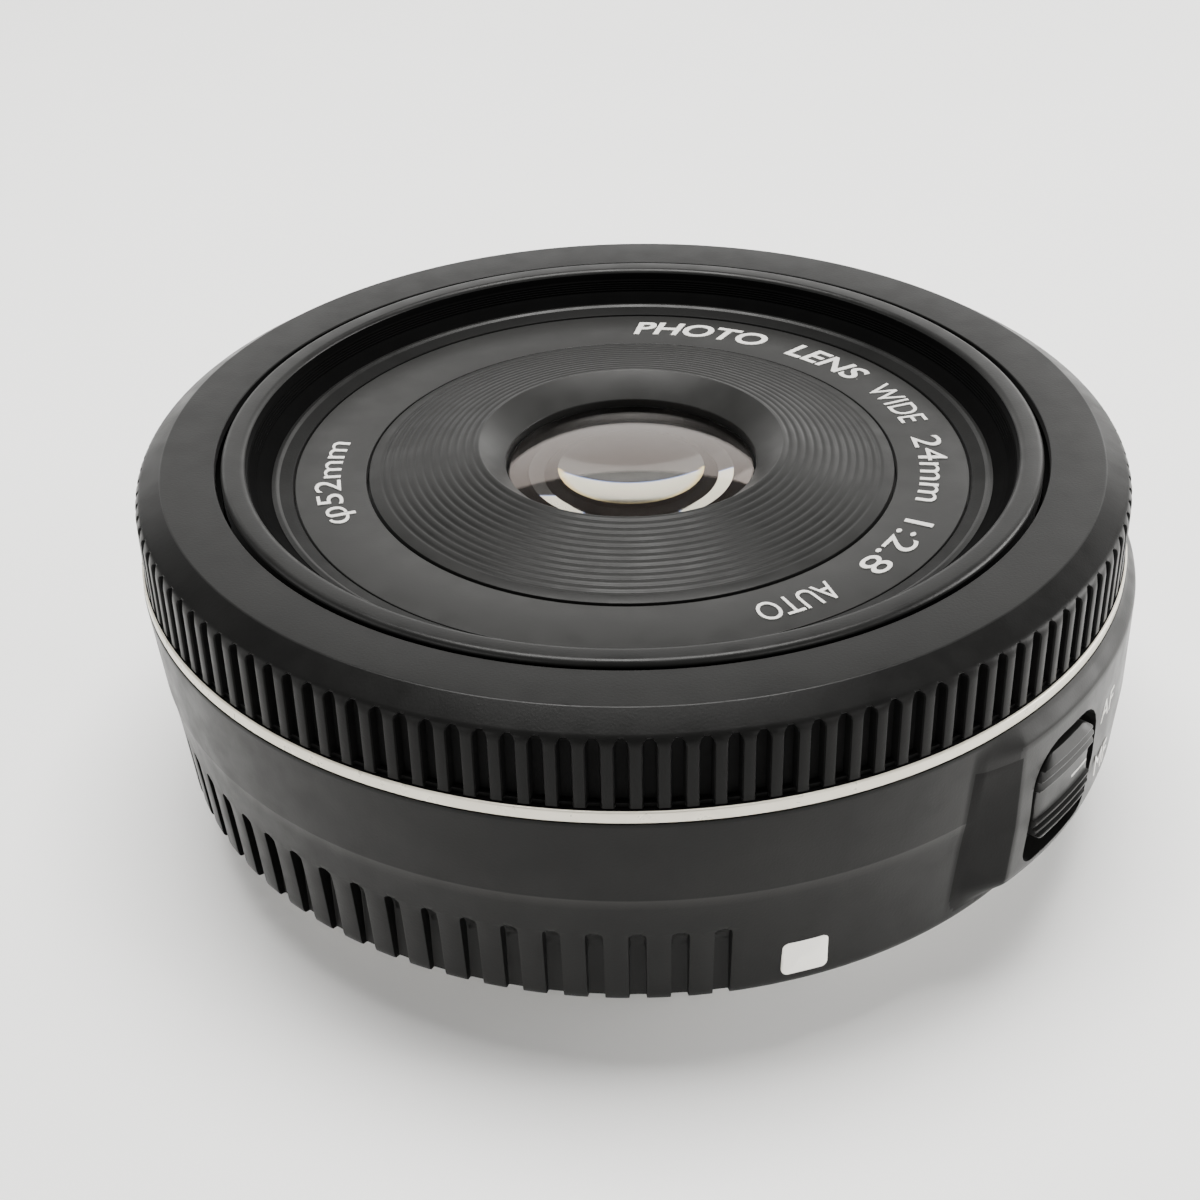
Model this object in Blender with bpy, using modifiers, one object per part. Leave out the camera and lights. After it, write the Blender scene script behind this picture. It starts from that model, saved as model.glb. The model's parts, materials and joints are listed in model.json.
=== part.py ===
"""Slim prime camera lens, standing on its bayonet with the front glass up.

Every height and radius below is in millimetres and becomes metres through MM.
Height 0 is the rear face of the mount flange, and +Z is the optical axis towards
the front glass. Azimuths are degrees anticlockwise from +X, seen from the front.
"""
import math

import bmesh
import bpy
from mathutils import Matrix

MM = 0.001

BEYOND = 37.0               # cutters that open outwards run past every outer wall

# Overall
LENS_LENGTH = 22.8          # flange to the front of the focus ring
FOCUS_TRAVEL = 5.5          # how far the whole optical group comes forward
DRIVE_SWEEP = 60.0          # turn of the drive ring that gives that travel

# Outer shells
CASING_FOOT = 0.6           # the casing stands clear of the flange plane by this
CASING_TOP = 15.3
CASING_BORE = 32.0
CASING_LAND = 31.6          # bore of the casing round the mount flange
TRIM_RADIUS = 34.25         # the silver ring between the casing and the focus ring
TRIM_LOW = 15.55
TRIM_HIGH = 16.45
FLOOR_LOW = 1.9             # the casing's floor, which carries the mechanism
FLOOR_HIGH = 3.4
FLOOR_HOLE = 17.2
GRIP_RADIUS = 34.05         # over the ribs of the focus ring
GRIP_RIBS = 132
GRIP_LOW = 16.8
GRIP_HIGH = 21.4
GRIP_GROOVE = 0.55          # depth of the grooves between the ribs
BEVEL_RADIUS = 32.2         # outer edge of the focus ring's face
BEVEL_HEIGHT = 22.55
LIP_RADIUS = 28.57          # inner edge of the focus ring's face
FACE_BACK = 21.9            # underside of that face
SKIRT_OUTER = 31.6          # the ring's sleeve, which runs inside the casing
SKIRT_INNER = 30.7
SKIRT_FOOT = 14.0

# Lower grip: flutes all round, except beside the switch and the index mark
FLUTE_PITCH = 4.5
FLUTE_FIRST = -81.1
FLUTE_COUNT = 57
FLUTE_WIDTH = 1.05
FLUTE_FLOOR = 32.75
FLUTE_TOP = 6.4

# Index mark, let into the foot of the casing
INDEX_AZIMUTHS = (-74.6, -69.3)
INDEX_HEIGHTS = (1.55, 4.25)

# Switch
PAD_LEFT = -47.4
PAD_RIGHT = -1.0
PAD_FLARE = 6.1             # how far the pad's end bevels spread at the casing
PAD_ROOT = 32.9             # the pad grows out of the casing from here
PAD_FACE = 35.1
PAD_FACE_FOOT = 34.75       # the face leans in below PAD_BEND
PAD_BEND = 8.0
PAD_FOOT = 3.0
POCKET = (-45.3, -31.8)
POCKET_LOW = 3.8
POCKET_HIGH = 13.1
POCKET_FLOOR = 33.5
KNOB = (-44.7, -33.4)
KNOB_LOW = 5.3              # with the switch at its upper stop
KNOB_HIGH = 12.3
KNOB_BACK = 33.7
KNOB_FACE = 35.2            # the waist between the two groups of ridges
KNOB_TIP = 35.5
KNOB_RIDGES = (5.7, 6.4, 10.7, 11.4)
STEM_AZIMUTH = -39.05
STEM_HEIGHTS = (8.0, 9.6)
SWITCH_TRAVEL = 1.4

# Mount
TAIL_OUTER = 25.1
TAIL_BORE = 23.3
TAIL_END = -5.2
LUG_RADIUS = 26.9
LUG_AZIMUTHS = (18.0, 138.0, 258.0)
LUG_HALF_SPAN = 26.0
LUG_HEIGHTS = (-4.3, -2.9)
FLANGE_RADIUS = 31.3
FLANGE_HIGH = 1.6
SCREW_CIRCLE = 28.3
SCREW_AZIMUTHS = (22.0, 112.0, 202.0, 292.0)
CONTACT_AZIMUTH = 108.0
CONTACT_CIRCLE = 21.0
CONTACT_PITCH = 5.2
CONTACT_COUNT = 7
CONTACT_HALF_SPAN = CONTACT_PITCH * (CONTACT_COUNT + 1) / 2
BAFFLE_HEIGHTS = (-4.4, -3.4)
BAFFLE_WINDOW = 10.9

# Sliding and turning sleeves, from the outside in
FIXED_OUTER = 30.4
FIXED_BORE = 29.4
DRIVE_OUTER = 29.1
DRIVE_BORE = 28.3
BARREL_OUTER = 27.9
BARREL_BORE = 26.9
BARREL_FOOT = 6.9
PIN_HEIGHT = 10.5           # cam pins, with the lens focused at infinity
PIN_RADIUS = 0.8
PIN_AZIMUTHS = (10.0, 130.0, 250.0)

# Gear train: every wheel has the same module
MODULE = 0.5
RING_TEETH = 108
WHEEL_TEETH = 16
PINION_TEETH = 8
TOOTH_TIP = 0.34            # above the pitch circle
TOOTH_ROOT = 0.44           # below it
TRAIN_LOW = (4.3, 5.05)     # heights of the motor's mesh
TRAIN_HIGH = (5.2, 6.0)     # heights of the drive ring's mesh
IDLER_AZIMUTH = 60.0
DOUBLE_REACH = 21.9         # from the optical axis to the double wheel's axis
MOTOR_REACH = 21.6
MOTOR_RADIUS = 3.4
WHEEL_BORE = 0.75
PLATE_RADII = (17.8, 26.2)  # the gear plate and its cover

# Iris
BLADE_COUNT = 7
BLADE_LOW = 12.3
BLADE_STEP = 0.165
BLADE_THICKNESS = 0.12
BLADE_PIVOT = 13.1
IRIS_BORE = 6.4
IRIS_RING_TEETH = 70
IRIS_MODULE = 0.4
IRIS_PINION_TEETH = 10
IRIS_MOTOR_AZIMUTH = 215.0

# Finishes: colour, roughness, metallic
SATIN_BLACK = ((0.022, 0.022, 0.023), 0.45, 0.0)
RIB_BLACK = ((0.014, 0.014, 0.015), 0.55, 0.0)
MATT_BLACK = ((0.010, 0.010, 0.011), 0.75, 0.0)
NAME_GREY = ((0.055, 0.052, 0.048), 0.5, 0.0)
SILVER = ((0.80, 0.78, 0.72), 0.3, 1.0)
STEEL = ((0.62, 0.61, 0.59), 0.28, 1.0)
BRASS = ((0.80, 0.60, 0.28), 0.3, 1.0)
WHITE = ((0.82, 0.80, 0.74), 0.35, 0.0)
GEAR_CREAM = ((0.72, 0.68, 0.56), 0.5, 0.0)
GLASS = ((0.85, 0.88, 0.90), 0.03, 0.0)
BOARD_GREEN = ((0.03, 0.16, 0.07), 0.5, 0.0)


def clear_scene():
    for thing in list(bpy.data.objects):
        bpy.data.objects.remove(thing, do_unlink=True)


def new_collection(name):
    group = bpy.data.collections.new(name)
    bpy.context.scene.collection.children.link(group)
    return group


def finish_material(name, finish):
    colour, roughness, metallic = finish
    made = bpy.data.materials.new(name)
    made.use_nodes = True
    shader = made.node_tree.nodes["Principled BSDF"]
    shader.inputs["Base Color"].default_value = (*colour, 1.0)
    shader.inputs["Roughness"].default_value = roughness
    shader.inputs["Metallic"].default_value = metallic
    if finish is GLASS:
        shader.inputs["Transmission Weight"].default_value = 1.0
    return made


def add_piece(name, mesh, finish=None):
    """Put a mesh in the scene: a finished piece, or a hidden tool when it has no finish."""
    made = bpy.data.objects.new(name, mesh)
    if finish is None:
        CUTTERS.objects.link(made)
        made.hide_render = True
        made.display_type = "WIRE"
    else:
        PARTS.objects.link(made)
        mesh.materials.append(finish_material(name, finish))
    return made


def polar(radius, azimuth):
    angle = math.radians(azimuth)
    return radius * math.cos(angle), radius * math.sin(angle)


def place(piece, radius, azimuth, height=0.0):
    """Move a piece that is modelled about its own axis to its seat, in millimetres."""
    x, y = polar(radius, azimuth)
    piece.location = (x * MM, y * MM, height * MM)
    piece.rotation_euler = (0.0, 0.0, math.radians(azimuth))
    return piece


def turned(name, profile, finish=None, steps=64):
    """A turned piece: the profile runs down the outer side, then back up the bore."""
    outline = bmesh.new()
    points = [outline.verts.new((radius * MM, 0.0, height * MM)) for radius, height in profile]
    for start, end in zip(points, points[1:]):
        outline.edges.new((start, end))
    if profile[0][0] > 0.0:
        outline.edges.new((points[-1], points[0]))
    mesh = bpy.data.meshes.new(name)
    outline.to_mesh(mesh)
    outline.free()
    piece = add_piece(name, mesh, finish)
    screw = piece.modifiers.new("turn", "SCREW")
    screw.axis = "Z"
    screw.angle = math.tau
    screw.steps = steps
    screw.render_steps = steps
    screw.use_merge_vertices = True
    screw.merge_threshold = 0.000001
    return piece


def curve_to_piece(name, curve, finish, location=(0.0, 0.0, 0.0)):
    """Turn a curve into a welded mesh piece."""
    source = bpy.data.objects.new(name + "_curve", curve)
    source.location = location
    bpy.context.scene.collection.objects.link(source)
    bpy.context.view_layer.update()
    evaluated = source.evaluated_get(bpy.context.evaluated_depsgraph_get())
    mesh = bpy.data.meshes.new_from_object(evaluated)
    mesh.transform(source.matrix_world)
    mesh.materials.clear()
    welded = bmesh.new()
    welded.from_mesh(mesh)
    bmesh.ops.remove_doubles(welded, verts=welded.verts, dist=0.000001)
    welded.to_mesh(mesh)
    welded.free()
    bpy.data.objects.remove(source, do_unlink=True)
    return add_piece(name, mesh, finish)


def flat_plate(name, outlines, low, high, finish=None):
    """A flat piece between two heights, from closed outlines in millimetres."""
    curve = bpy.data.curves.new(name, "CURVE")
    curve.dimensions = "2D"
    curve.fill_mode = "BOTH"
    curve.extrude = (high - low) / 2 * MM
    for outline in outlines:
        spline = curve.splines.new("POLY")
        spline.points.add(len(outline) - 1)
        for point, (x, y) in zip(spline.points, outline):
            point.co = (x * MM, y * MM, 0.0, 1.0)
        spline.use_cyclic_u = True
    return curve_to_piece(name, curve, finish, (0.0, 0.0, (low + high) / 2 * MM))


def arc(radius, start, end, steps):
    span = end - start
    return [polar(radius, start + span * step / steps) for step in range(steps + 1)]


def circle(radius, steps):
    return [polar(radius, 360.0 * step / steps) for step in range(steps)]


def around(middle, half):
    return middle - half, middle + half


def widened(span, margin):
    return span[0] - margin, span[1] + margin


def sector(name, radii, azimuths, heights, finish=None, steps=8):
    """A block between two radii, two azimuths and two heights."""
    outline = arc(radii[1], *azimuths, steps) + arc(radii[0], *azimuths[::-1], steps)
    return flat_plate(name, [outline], *heights, finish)


def rod(name, radius, low, high, finish=None, steps=12):
    """A plain cylinder about its own axis."""
    mesh = bpy.data.meshes.new(name)
    solid = bmesh.new()
    middle = Matrix.Translation((0.0, 0.0, (low + high) / 2 * MM))
    bmesh.ops.create_cone(solid, cap_ends=True, segments=steps, radius1=radius * MM,
                          radius2=radius * MM, depth=(high - low) * MM, matrix=middle)
    solid.to_mesh(mesh)
    solid.free()
    return add_piece(name, mesh, finish)


def ring_of_boxes(name, azimuths, radii, width, heights):
    """One cutter made of radial boxes."""
    mesh = bpy.data.meshes.new(name)
    solid = bmesh.new()
    reach = radii[1] - radii[0]
    size = Matrix.Diagonal((reach * MM, width * MM, (heights[1] - heights[0]) * MM, 1.0))
    seat = Matrix.Translation((sum(radii) / 2 * MM, 0.0, sum(heights) / 2 * MM))
    for azimuth in azimuths:
        spin = Matrix.Rotation(math.radians(azimuth), 4, "Z")
        bmesh.ops.create_cube(solid, size=1.0, matrix=spin @ seat @ size)
    solid.to_mesh(mesh)
    solid.free()
    return add_piece(name, mesh)


def ring_of_rods(name, azimuths, circle_radius, radius, heights, steps=12):
    """One cutter made of upright rods on a circle."""
    mesh = bpy.data.meshes.new(name)
    solid = bmesh.new()
    for azimuth in azimuths:
        x, y = polar(circle_radius, azimuth)
        seat = Matrix.Translation((x * MM, y * MM, sum(heights) / 2 * MM))
        bmesh.ops.create_cone(solid, cap_ends=True, segments=steps, radius1=radius * MM,
                              radius2=radius * MM, depth=(heights[1] - heights[0]) * MM,
                              matrix=seat)
    solid.to_mesh(mesh)
    solid.free()
    return add_piece(name, mesh)


def shape(piece, tool, operation="DIFFERENCE"):
    """Cut a piece with a hidden tool, or join the tool to it."""
    boolean = piece.modifiers.new(tool.name, "BOOLEAN")
    boolean.operation = operation
    boolean.solver = "EXACT"
    boolean.object = tool
    return piece


def tooth_outline(teeth, module, phase=0.0):
    """Outline of an external gear; the phase turns tooth 0 away from +X, in teeth."""
    pitch_radius = teeth * module / 2
    pitch_angle = 360.0 / teeth
    corners = ((-0.27, -TOOTH_ROOT), (-0.12, TOOTH_TIP), (0.12, TOOTH_TIP),
               (0.27, -TOOTH_ROOT))
    outline = []
    for tooth in range(teeth):
        for along, out in corners:
            reach = pitch_radius + out * module / MODULE
            outline.append(polar(reach, (tooth + phase + along) * pitch_angle))
    return outline


# The casing and what shows on it

def build_rear_casing():
    profile = [(34.3, CASING_TOP), (34.0, 9.8), (33.35, 6.7), (32.95, CASING_FOOT),
               (CASING_LAND, CASING_FOOT), (CASING_LAND, FLOOR_LOW), (FLOOR_HOLE, FLOOR_LOW),
               (FLOOR_HOLE, FLOOR_HIGH), (CASING_BORE, FLOOR_HIGH), (CASING_BORE, CASING_TOP)]
    casing = turned("rear_casing", profile, SATIN_BLACK, 48)
    shape(casing, build_pad(), "UNION")

    shape(casing, sector("pocket", (POCKET_FLOOR, BEYOND), POCKET, (POCKET_LOW, POCKET_HIGH)))
    slot_heights = (STEM_HEIGHTS[0] - SWITCH_TRAVEL - 0.3, STEM_HEIGHTS[1] + 0.3)
    shape(casing, sector("stem_slot", (31.0, 34.0), around(STEM_AZIMUTH, 2.1), slot_heights, steps=2))
    index_azimuths, index_heights = widened(INDEX_AZIMUTHS, 0.2), widened(INDEX_HEIGHTS, 0.1)
    shape(casing, sector("index_pocket", (32.55, BEYOND), index_azimuths, index_heights, steps=2))
    flutes = [FLUTE_FIRST - FLUTE_PITCH * number for number in range(FLUTE_COUNT)]
    shape(casing, ring_of_boxes("flutes", flutes, (FLUTE_FLOOR, BEYOND), FLUTE_WIDTH,
                                (-1.0, FLUTE_TOP)))
    shape(casing, ring_of_rods("floor_holes", SCREW_AZIMUTHS, SCREW_CIRCLE, 0.9,
                               (FLOOR_LOW - 0.5, FLOOR_HIGH + 0.5)))


def build_pad():
    """The raised pad round the switch: a turned band, trimmed to its slanting ends."""
    pad = turned("pad_ring", [(PAD_ROOT, 14.9), (34.6, 14.9), (PAD_FACE, 14.2), (PAD_FACE, PAD_BEND),
                              (PAD_FACE_FOOT, PAD_FOOT), (PAD_ROOT, PAD_FOOT)], steps=90)
    inner, outer, flare = 31.0, PAD_FACE + 0.2, 33.2
    block = [polar(inner, PAD_LEFT), polar(flare, PAD_LEFT - PAD_FLARE), polar(outer, PAD_LEFT)]
    block += arc(PAD_FACE + 1.5, PAD_LEFT + 2.0, PAD_RIGHT - 2.0, 8)
    block += [polar(outer, PAD_RIGHT), polar(flare, PAD_RIGHT + PAD_FLARE), polar(inner, PAD_RIGHT)]
    block += arc(inner, PAD_RIGHT, PAD_LEFT, 8)[1:-1]
    return shape(pad, flat_plate("pad_block", [block], 2.0, 16.0), "INTERSECT")


def build_index_mark():
    sector("index_mark", (32.7, 33.3), INDEX_AZIMUTHS, INDEX_HEIGHTS, WHITE, 2)


def build_switch():
    """The knob in its pocket, with a stem through the casing to the carrier that it drives."""
    knob = sector("switch_knob", (KNOB_BACK, KNOB_TIP), KNOB, (KNOB_LOW, KNOB_HIGH), SATIN_BLACK)
    past_knob = widened(KNOB, 5.0)
    waist = (KNOB_RIDGES[1] + 1.1, KNOB_RIDGES[2] - 0.7)
    shape(knob, sector("knob_waist", (KNOB_FACE, BEYOND), past_knob, waist))
    for number, low in enumerate(KNOB_RIDGES):
        groove = sector(f"knob_groove_{number}", (KNOB_FACE, BEYOND), past_knob, (low, low + 0.3))
        shape(knob, groove)
    stem = sector("knob_stem", (SKIRT_INNER, KNOB_BACK + 0.6), around(STEM_AZIMUTH, 1.5), STEM_HEIGHTS,
                  steps=2)
    shape(knob, stem, "UNION")
    carrier = sector("switch_carrier", (30.9, 31.6), around(STEM_AZIMUTH, 5.2), (6.9, 10.7), BRASS, 4)
    shape(carrier, sector("carrier_hole", (30.0, 32.5), around(STEM_AZIMUTH, 1.8),
                          widened(STEM_HEIGHTS, 0.15), steps=2))


def build_trim_ring():
    bore = CASING_BORE + 0.1
    turned("trim_ring", [(bore, TRIM_HIGH), (TRIM_RADIUS, TRIM_HIGH), (TRIM_RADIUS, TRIM_LOW),
                         (bore, TRIM_LOW)], SILVER, 48)


def build_focus_ring():
    profile = [(LIP_RADIUS, LENS_LENGTH), (BEVEL_RADIUS, BEVEL_HEIGHT), (GRIP_RADIUS, GRIP_HIGH),
               (GRIP_RADIUS, GRIP_LOW), (SKIRT_OUTER, GRIP_LOW), (SKIRT_OUTER, SKIRT_FOOT),
               (SKIRT_INNER, SKIRT_FOOT), (SKIRT_INNER, FACE_BACK), (LIP_RADIUS, FACE_BACK)]
    ring = turned("focus_ring", profile, RIB_BLACK, GRIP_RIBS // 3)
    pitch = 360.0 / GRIP_RIBS
    grooves = [pitch * (number + 0.5) for number in range(GRIP_RIBS)]
    width = 0.55 * math.radians(pitch) * GRIP_RADIUS
    shape(ring, ring_of_boxes("rib_grooves", grooves, (GRIP_RADIUS - GRIP_GROOVE, BEYOND), width,
                              (GRIP_LOW - 1.0, GRIP_HIGH - 0.1)))


def build_focus_encoder():
    comb = turned("focus_encoder", [(30.85, 13.7), (31.2, 13.7), (31.2, 10.8), (30.85, 10.8)],
                  STEEL, 36)
    slots = [15.0 * number + 5.0 for number in range(24)]
    shape(comb, ring_of_boxes("comb_slots", slots, (30.0, 32.0), 3.9, (10.0, 12.9)))
    sensor = sector("photo_interrupter", (29.6, 31.8), (-152.0, -142.0), (8.9, 12.5),
                    MATT_BLACK, 3)
    shape(sensor, turned("sensor_slot", [(30.55, 14.0), (31.45, 14.0), (31.45, 10.2),
                                         (30.55, 10.2)], steps=72))


# Mount

def build_mount():
    profile = [(TAIL_BORE, FLANGE_HIGH), (FLANGE_RADIUS, FLANGE_HIGH), (FLANGE_RADIUS, 0.0),
               (TAIL_OUTER, 0.0), (TAIL_OUTER, TAIL_END), (TAIL_BORE, TAIL_END)]
    ring = turned("mount_ring", profile, STEEL, 40)
    for number, azimuth in enumerate(LUG_AZIMUTHS):
        lug = sector(f"lug_{number}", (TAIL_OUTER - 0.7, LUG_RADIUS), around(azimuth, LUG_HALF_SPAN),
                     LUG_HEIGHTS, steps=5)
        shape(ring, lug, "UNION")
    shape(ring, ring_of_rods("flange_holes", SCREW_AZIMUTHS, SCREW_CIRCLE, 0.95, (-1.0, 3.0)))
    for number, azimuth in enumerate(SCREW_AZIMUTHS):
        sink = turned(f"countersink_{number}", [(0.0, 1.1), (0.6, 1.1), (2.1, -0.4),
                                                (0.0, -0.4)], steps=12)
        shape(ring, place(sink, SCREW_CIRCLE, azimuth))
    for number, azimuth in enumerate(SCREW_AZIMUTHS, 1):
        screw = turned(f"mount_screw_{number}", [(0.0, 3.2), (0.75, 3.2), (0.75, 0.9),
                                                 (1.5, 0.15), (0.0, 0.15)], STEEL, 12)
        place(screw, SCREW_CIRCLE, azimuth)


def build_contacts():
    span = around(CONTACT_AZIMUTH, CONTACT_HALF_SPAN)
    block = sector("contact_block", (19.1, 22.95), span, (-4.7, -2.9), MATT_BLACK)
    first = CONTACT_AZIMUTH - CONTACT_PITCH * (CONTACT_COUNT - 1) / 2
    azimuths = [first + CONTACT_PITCH * number for number in range(CONTACT_COUNT)]
    shape(block, ring_of_rods("contact_holes", azimuths, CONTACT_CIRCLE, 0.85, (-7.0, -2.0), 8))
    for number, azimuth in enumerate(azimuths, 1):
        pin = turned(f"contact_pin_{number}", [(0.0, -3.0), (0.7, -3.0), (0.7, -4.8),
                                               (0.4, -5.1), (0.0, -5.1)], BRASS, 8)
        place(pin, CONTACT_CIRCLE, azimuth)


def build_rear_baffle():
    low, high = BAFFLE_HEIGHTS
    rim = TAIL_BORE - 0.35
    baffle = turned("rear_baffle", [(BAFFLE_WINDOW, high), (rim, high), (rim, low),
                                    (BAFFLE_WINDOW, low)], MATT_BLACK, 36)
    span = around(CONTACT_AZIMUTH, CONTACT_HALF_SPAN + 0.8)
    shape(baffle, sector("contact_notch", (18.8, 25.0), span, (low - 1.6, high + 1.4)))


# Sleeves that turn and slide

def build_fixed_barrel():
    barrel = turned("fixed_barrel", [(FIXED_BORE, 21.5), (FIXED_OUTER, 21.5),
                                     (FIXED_OUTER, 3.7), (FIXED_BORE, 3.7)], SATIN_BLACK, 48)
    slot_heights = (PIN_HEIGHT - 1.1, PIN_HEIGHT + FOCUS_TRAVEL + 1.1)
    shape(barrel, ring_of_boxes("guide_slots", PIN_AZIMUTHS, (28.0, 32.0), 2.0, slot_heights))
    shape(barrel, sector("sensor_window", (28.0, 32.0), (-153.0, -141.0), (8.6, 12.8), steps=3))


def cam_slot(name, azimuth):
    """Cutter along a cam slot: it climbs as the ring turns, and runs a little past each end."""
    curve = bpy.data.curves.new(name, "CURVE")
    curve.dimensions = "3D"
    curve.bevel_depth = 1.1 * MM
    curve.bevel_resolution = 2
    curve.use_fill_caps = True
    steps = 9
    overrun = 2.0
    spline = curve.splines.new("POLY")
    spline.points.add(steps)
    for step, point in enumerate(spline.points):
        turn = -overrun + (DRIVE_SWEEP + 2 * overrun) * step / steps
        x, y = polar((DRIVE_OUTER + DRIVE_BORE) / 2, azimuth - turn)
        height = PIN_HEIGHT + FOCUS_TRAVEL * turn / DRIVE_SWEEP
        point.co = (x * MM, y * MM, height * MM, 1.0)
    return curve_to_piece(name, curve, None)


def build_drive_ring():
    """Sleeve with three climbing cam slots, and a rack of inward teeth at its foot."""
    pitch_radius = RING_TEETH * MODULE / 2
    tip = pitch_radius - TOOTH_TIP + 0.04
    foot, shelf = TRAIN_HIGH[0] - 0.2, TRAIN_HIGH[1] + 0.1
    ring = turned("drive_ring", [(DRIVE_BORE, 20.5), (DRIVE_OUTER, 20.5), (DRIVE_OUTER, foot),
                                 (DRIVE_BORE, foot)], GEAR_CREAM, 48)
    for number, azimuth in enumerate(PIN_AZIMUTHS):
        shape(ring, cam_slot(f"cam_slot_{number}", azimuth))
    pitch = 360.0 / RING_TEETH
    span = (IDLER_AZIMUTH - DRIVE_SWEEP - 3.5 * pitch, IDLER_AZIMUTH + 3.5 * pitch)
    rack = sector("rack", (tip, DRIVE_BORE + 0.4), span, (foot + 0.1, shelf), steps=10)
    shape(ring, rack, "UNION")
    gap_count = round(DRIVE_SWEEP / pitch) + 7
    gaps = [IDLER_AZIMUTH + pitch * (3 - number) for number in range(gap_count)]
    shape(ring, ring_of_boxes("tooth_gaps", gaps, (tip - 1.5, pitch_radius + TOOTH_ROOT + 0.1),
                              0.62 * math.pi * MODULE, (foot - 1.0, shelf + 0.5)))


def radial_rods(name, radius, start, end):
    """One cutter made of a rod along each cam pin."""
    mesh = bpy.data.meshes.new(name)
    solid = bmesh.new()
    for azimuth in PIN_AZIMUTHS:
        spin = Matrix.Rotation(math.radians(azimuth), 4, "Z")
        seat = Matrix.Translation(((start + end) / 2 * MM, 0.0, PIN_HEIGHT * MM))
        lay = Matrix.Rotation(math.pi / 2, 4, "Y")
        bmesh.ops.create_cone(solid, cap_ends=True, segments=12, radius1=radius * MM,
                              radius2=radius * MM, depth=(end - start) * MM,
                              matrix=spin @ seat @ lay)
    solid.to_mesh(mesh)
    solid.free()
    return add_piece(name, mesh)


def build_focusing_barrel():
    profile = [(26.4, 22.75), (27.6, 22.75), (BARREL_OUTER, 22.45),
               (BARREL_OUTER, BARREL_FOOT), (BARREL_BORE, BARREL_FOOT), (BARREL_BORE, 17.6),
               (12.8, 17.6), (12.8, 19.2), (23.45, 19.2), (23.45, 20.3), (24.3, 20.3),
               (25.6, 21.6), (26.4, 22.1)]
    barrel = turned("focusing_barrel", profile, SATIN_BLACK, 40)
    shape(barrel, radial_rods("pin_holes", PIN_RADIUS + 0.15, 25.0, 29.0))
    for number, azimuth in enumerate(PIN_AZIMUTHS, 1):
        pin = rod(f"cam_pin_{number}", PIN_RADIUS, 0.0, 3.2, STEEL)
        place(pin, 27.0, azimuth, PIN_HEIGHT)
        pin.rotation_euler = (0.0, math.pi / 2, math.radians(azimuth))


# Front trim and optics, all carried by the focusing barrel

def build_front_trim():
    turned("name_ring", [(18.45, 20.2), (23.15, 20.2), (23.15, 19.5), (18.45, 19.5)], NAME_GREY,
           40)
    turned("front_baffle", [(8.85, 20.7), (10.87, 21.75), (18.25, 20.27), (18.25, 19.5),
                            (13.2, 19.5), (10.9, 20.75), (8.95, 19.9)], MATT_BLACK, 36)
    turned("front_retainer", [(8.35, 19.85), (8.82, 19.85), (8.82, 19.4), (8.35, 19.4)],
           MATT_BLACK, 28)


def build_cells():
    turned("front_cell", [(8.9, 19.2), (10.4, 19.2), (12.5, 18.9), (12.5, 14.7), (5.7, 14.7),
                          (5.7, 15.0), (6.5, 15.0), (6.5, 17.3), (8.9, 17.3)], MATT_BLACK, 28)
    turned("rear_cell", [(5.9, 11.4), (12.5, 11.4), (12.5, 10.6), (9.9, 10.6), (9.9, -2.6),
                         (8.9, -2.6), (8.9, 2.3), (7.6, 2.3), (7.6, 6.3), (5.2, 6.3),
                         (5.2, 6.8), (5.9, 6.8)], MATT_BLACK, 28)
    turned("rear_retainer", [(7.7, -1.6), (8.6, -1.6), (8.6, -2.5), (7.7, -2.5)], MATT_BLACK,
           28)


def surface(apex, curvature_radius, edge, steps=3):
    """Points of a spherical face from the axis outwards; a negative radius bulges forward."""
    points = []
    for step in range(steps + 1):
        reach = edge * step / steps
        depth = abs(curvature_radius) - math.sqrt(curvature_radius ** 2 - reach ** 2)
        points.append((reach, apex + math.copysign(depth, curvature_radius)))
    return points


def lens(name, edge, front, rear, rear_edge=None):
    """A glass element; each face is (height on the axis, radius of curvature)."""
    outer = surface(*front, edge)
    inner = surface(*rear, rear_edge or edge)
    if rear_edge:
        inner.append((edge, inner[-1][1]))
    turned(name, outer + inner[::-1], GLASS, 24)


def build_lenses():
    lens("lens_1", 8.6, (20.5, -28.0), (19.2, -14.5), 6.6)
    lens("lens_2", 6.2, (17.7, -18.0), (15.1, 30.0))
    lens("lens_3", 5.6, (10.3, 18.0), (9.2, -14.0))
    lens("lens_4", 5.6, (9.17, -14.0), (7.0, 40.0))
    lens("lens_5", 7.3, (4.3, 30.0), (2.75, 16.0))
    lens("lens_6", 8.6, (1.9, -40.0), (-2.2, 22.0))


# Iris

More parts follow.
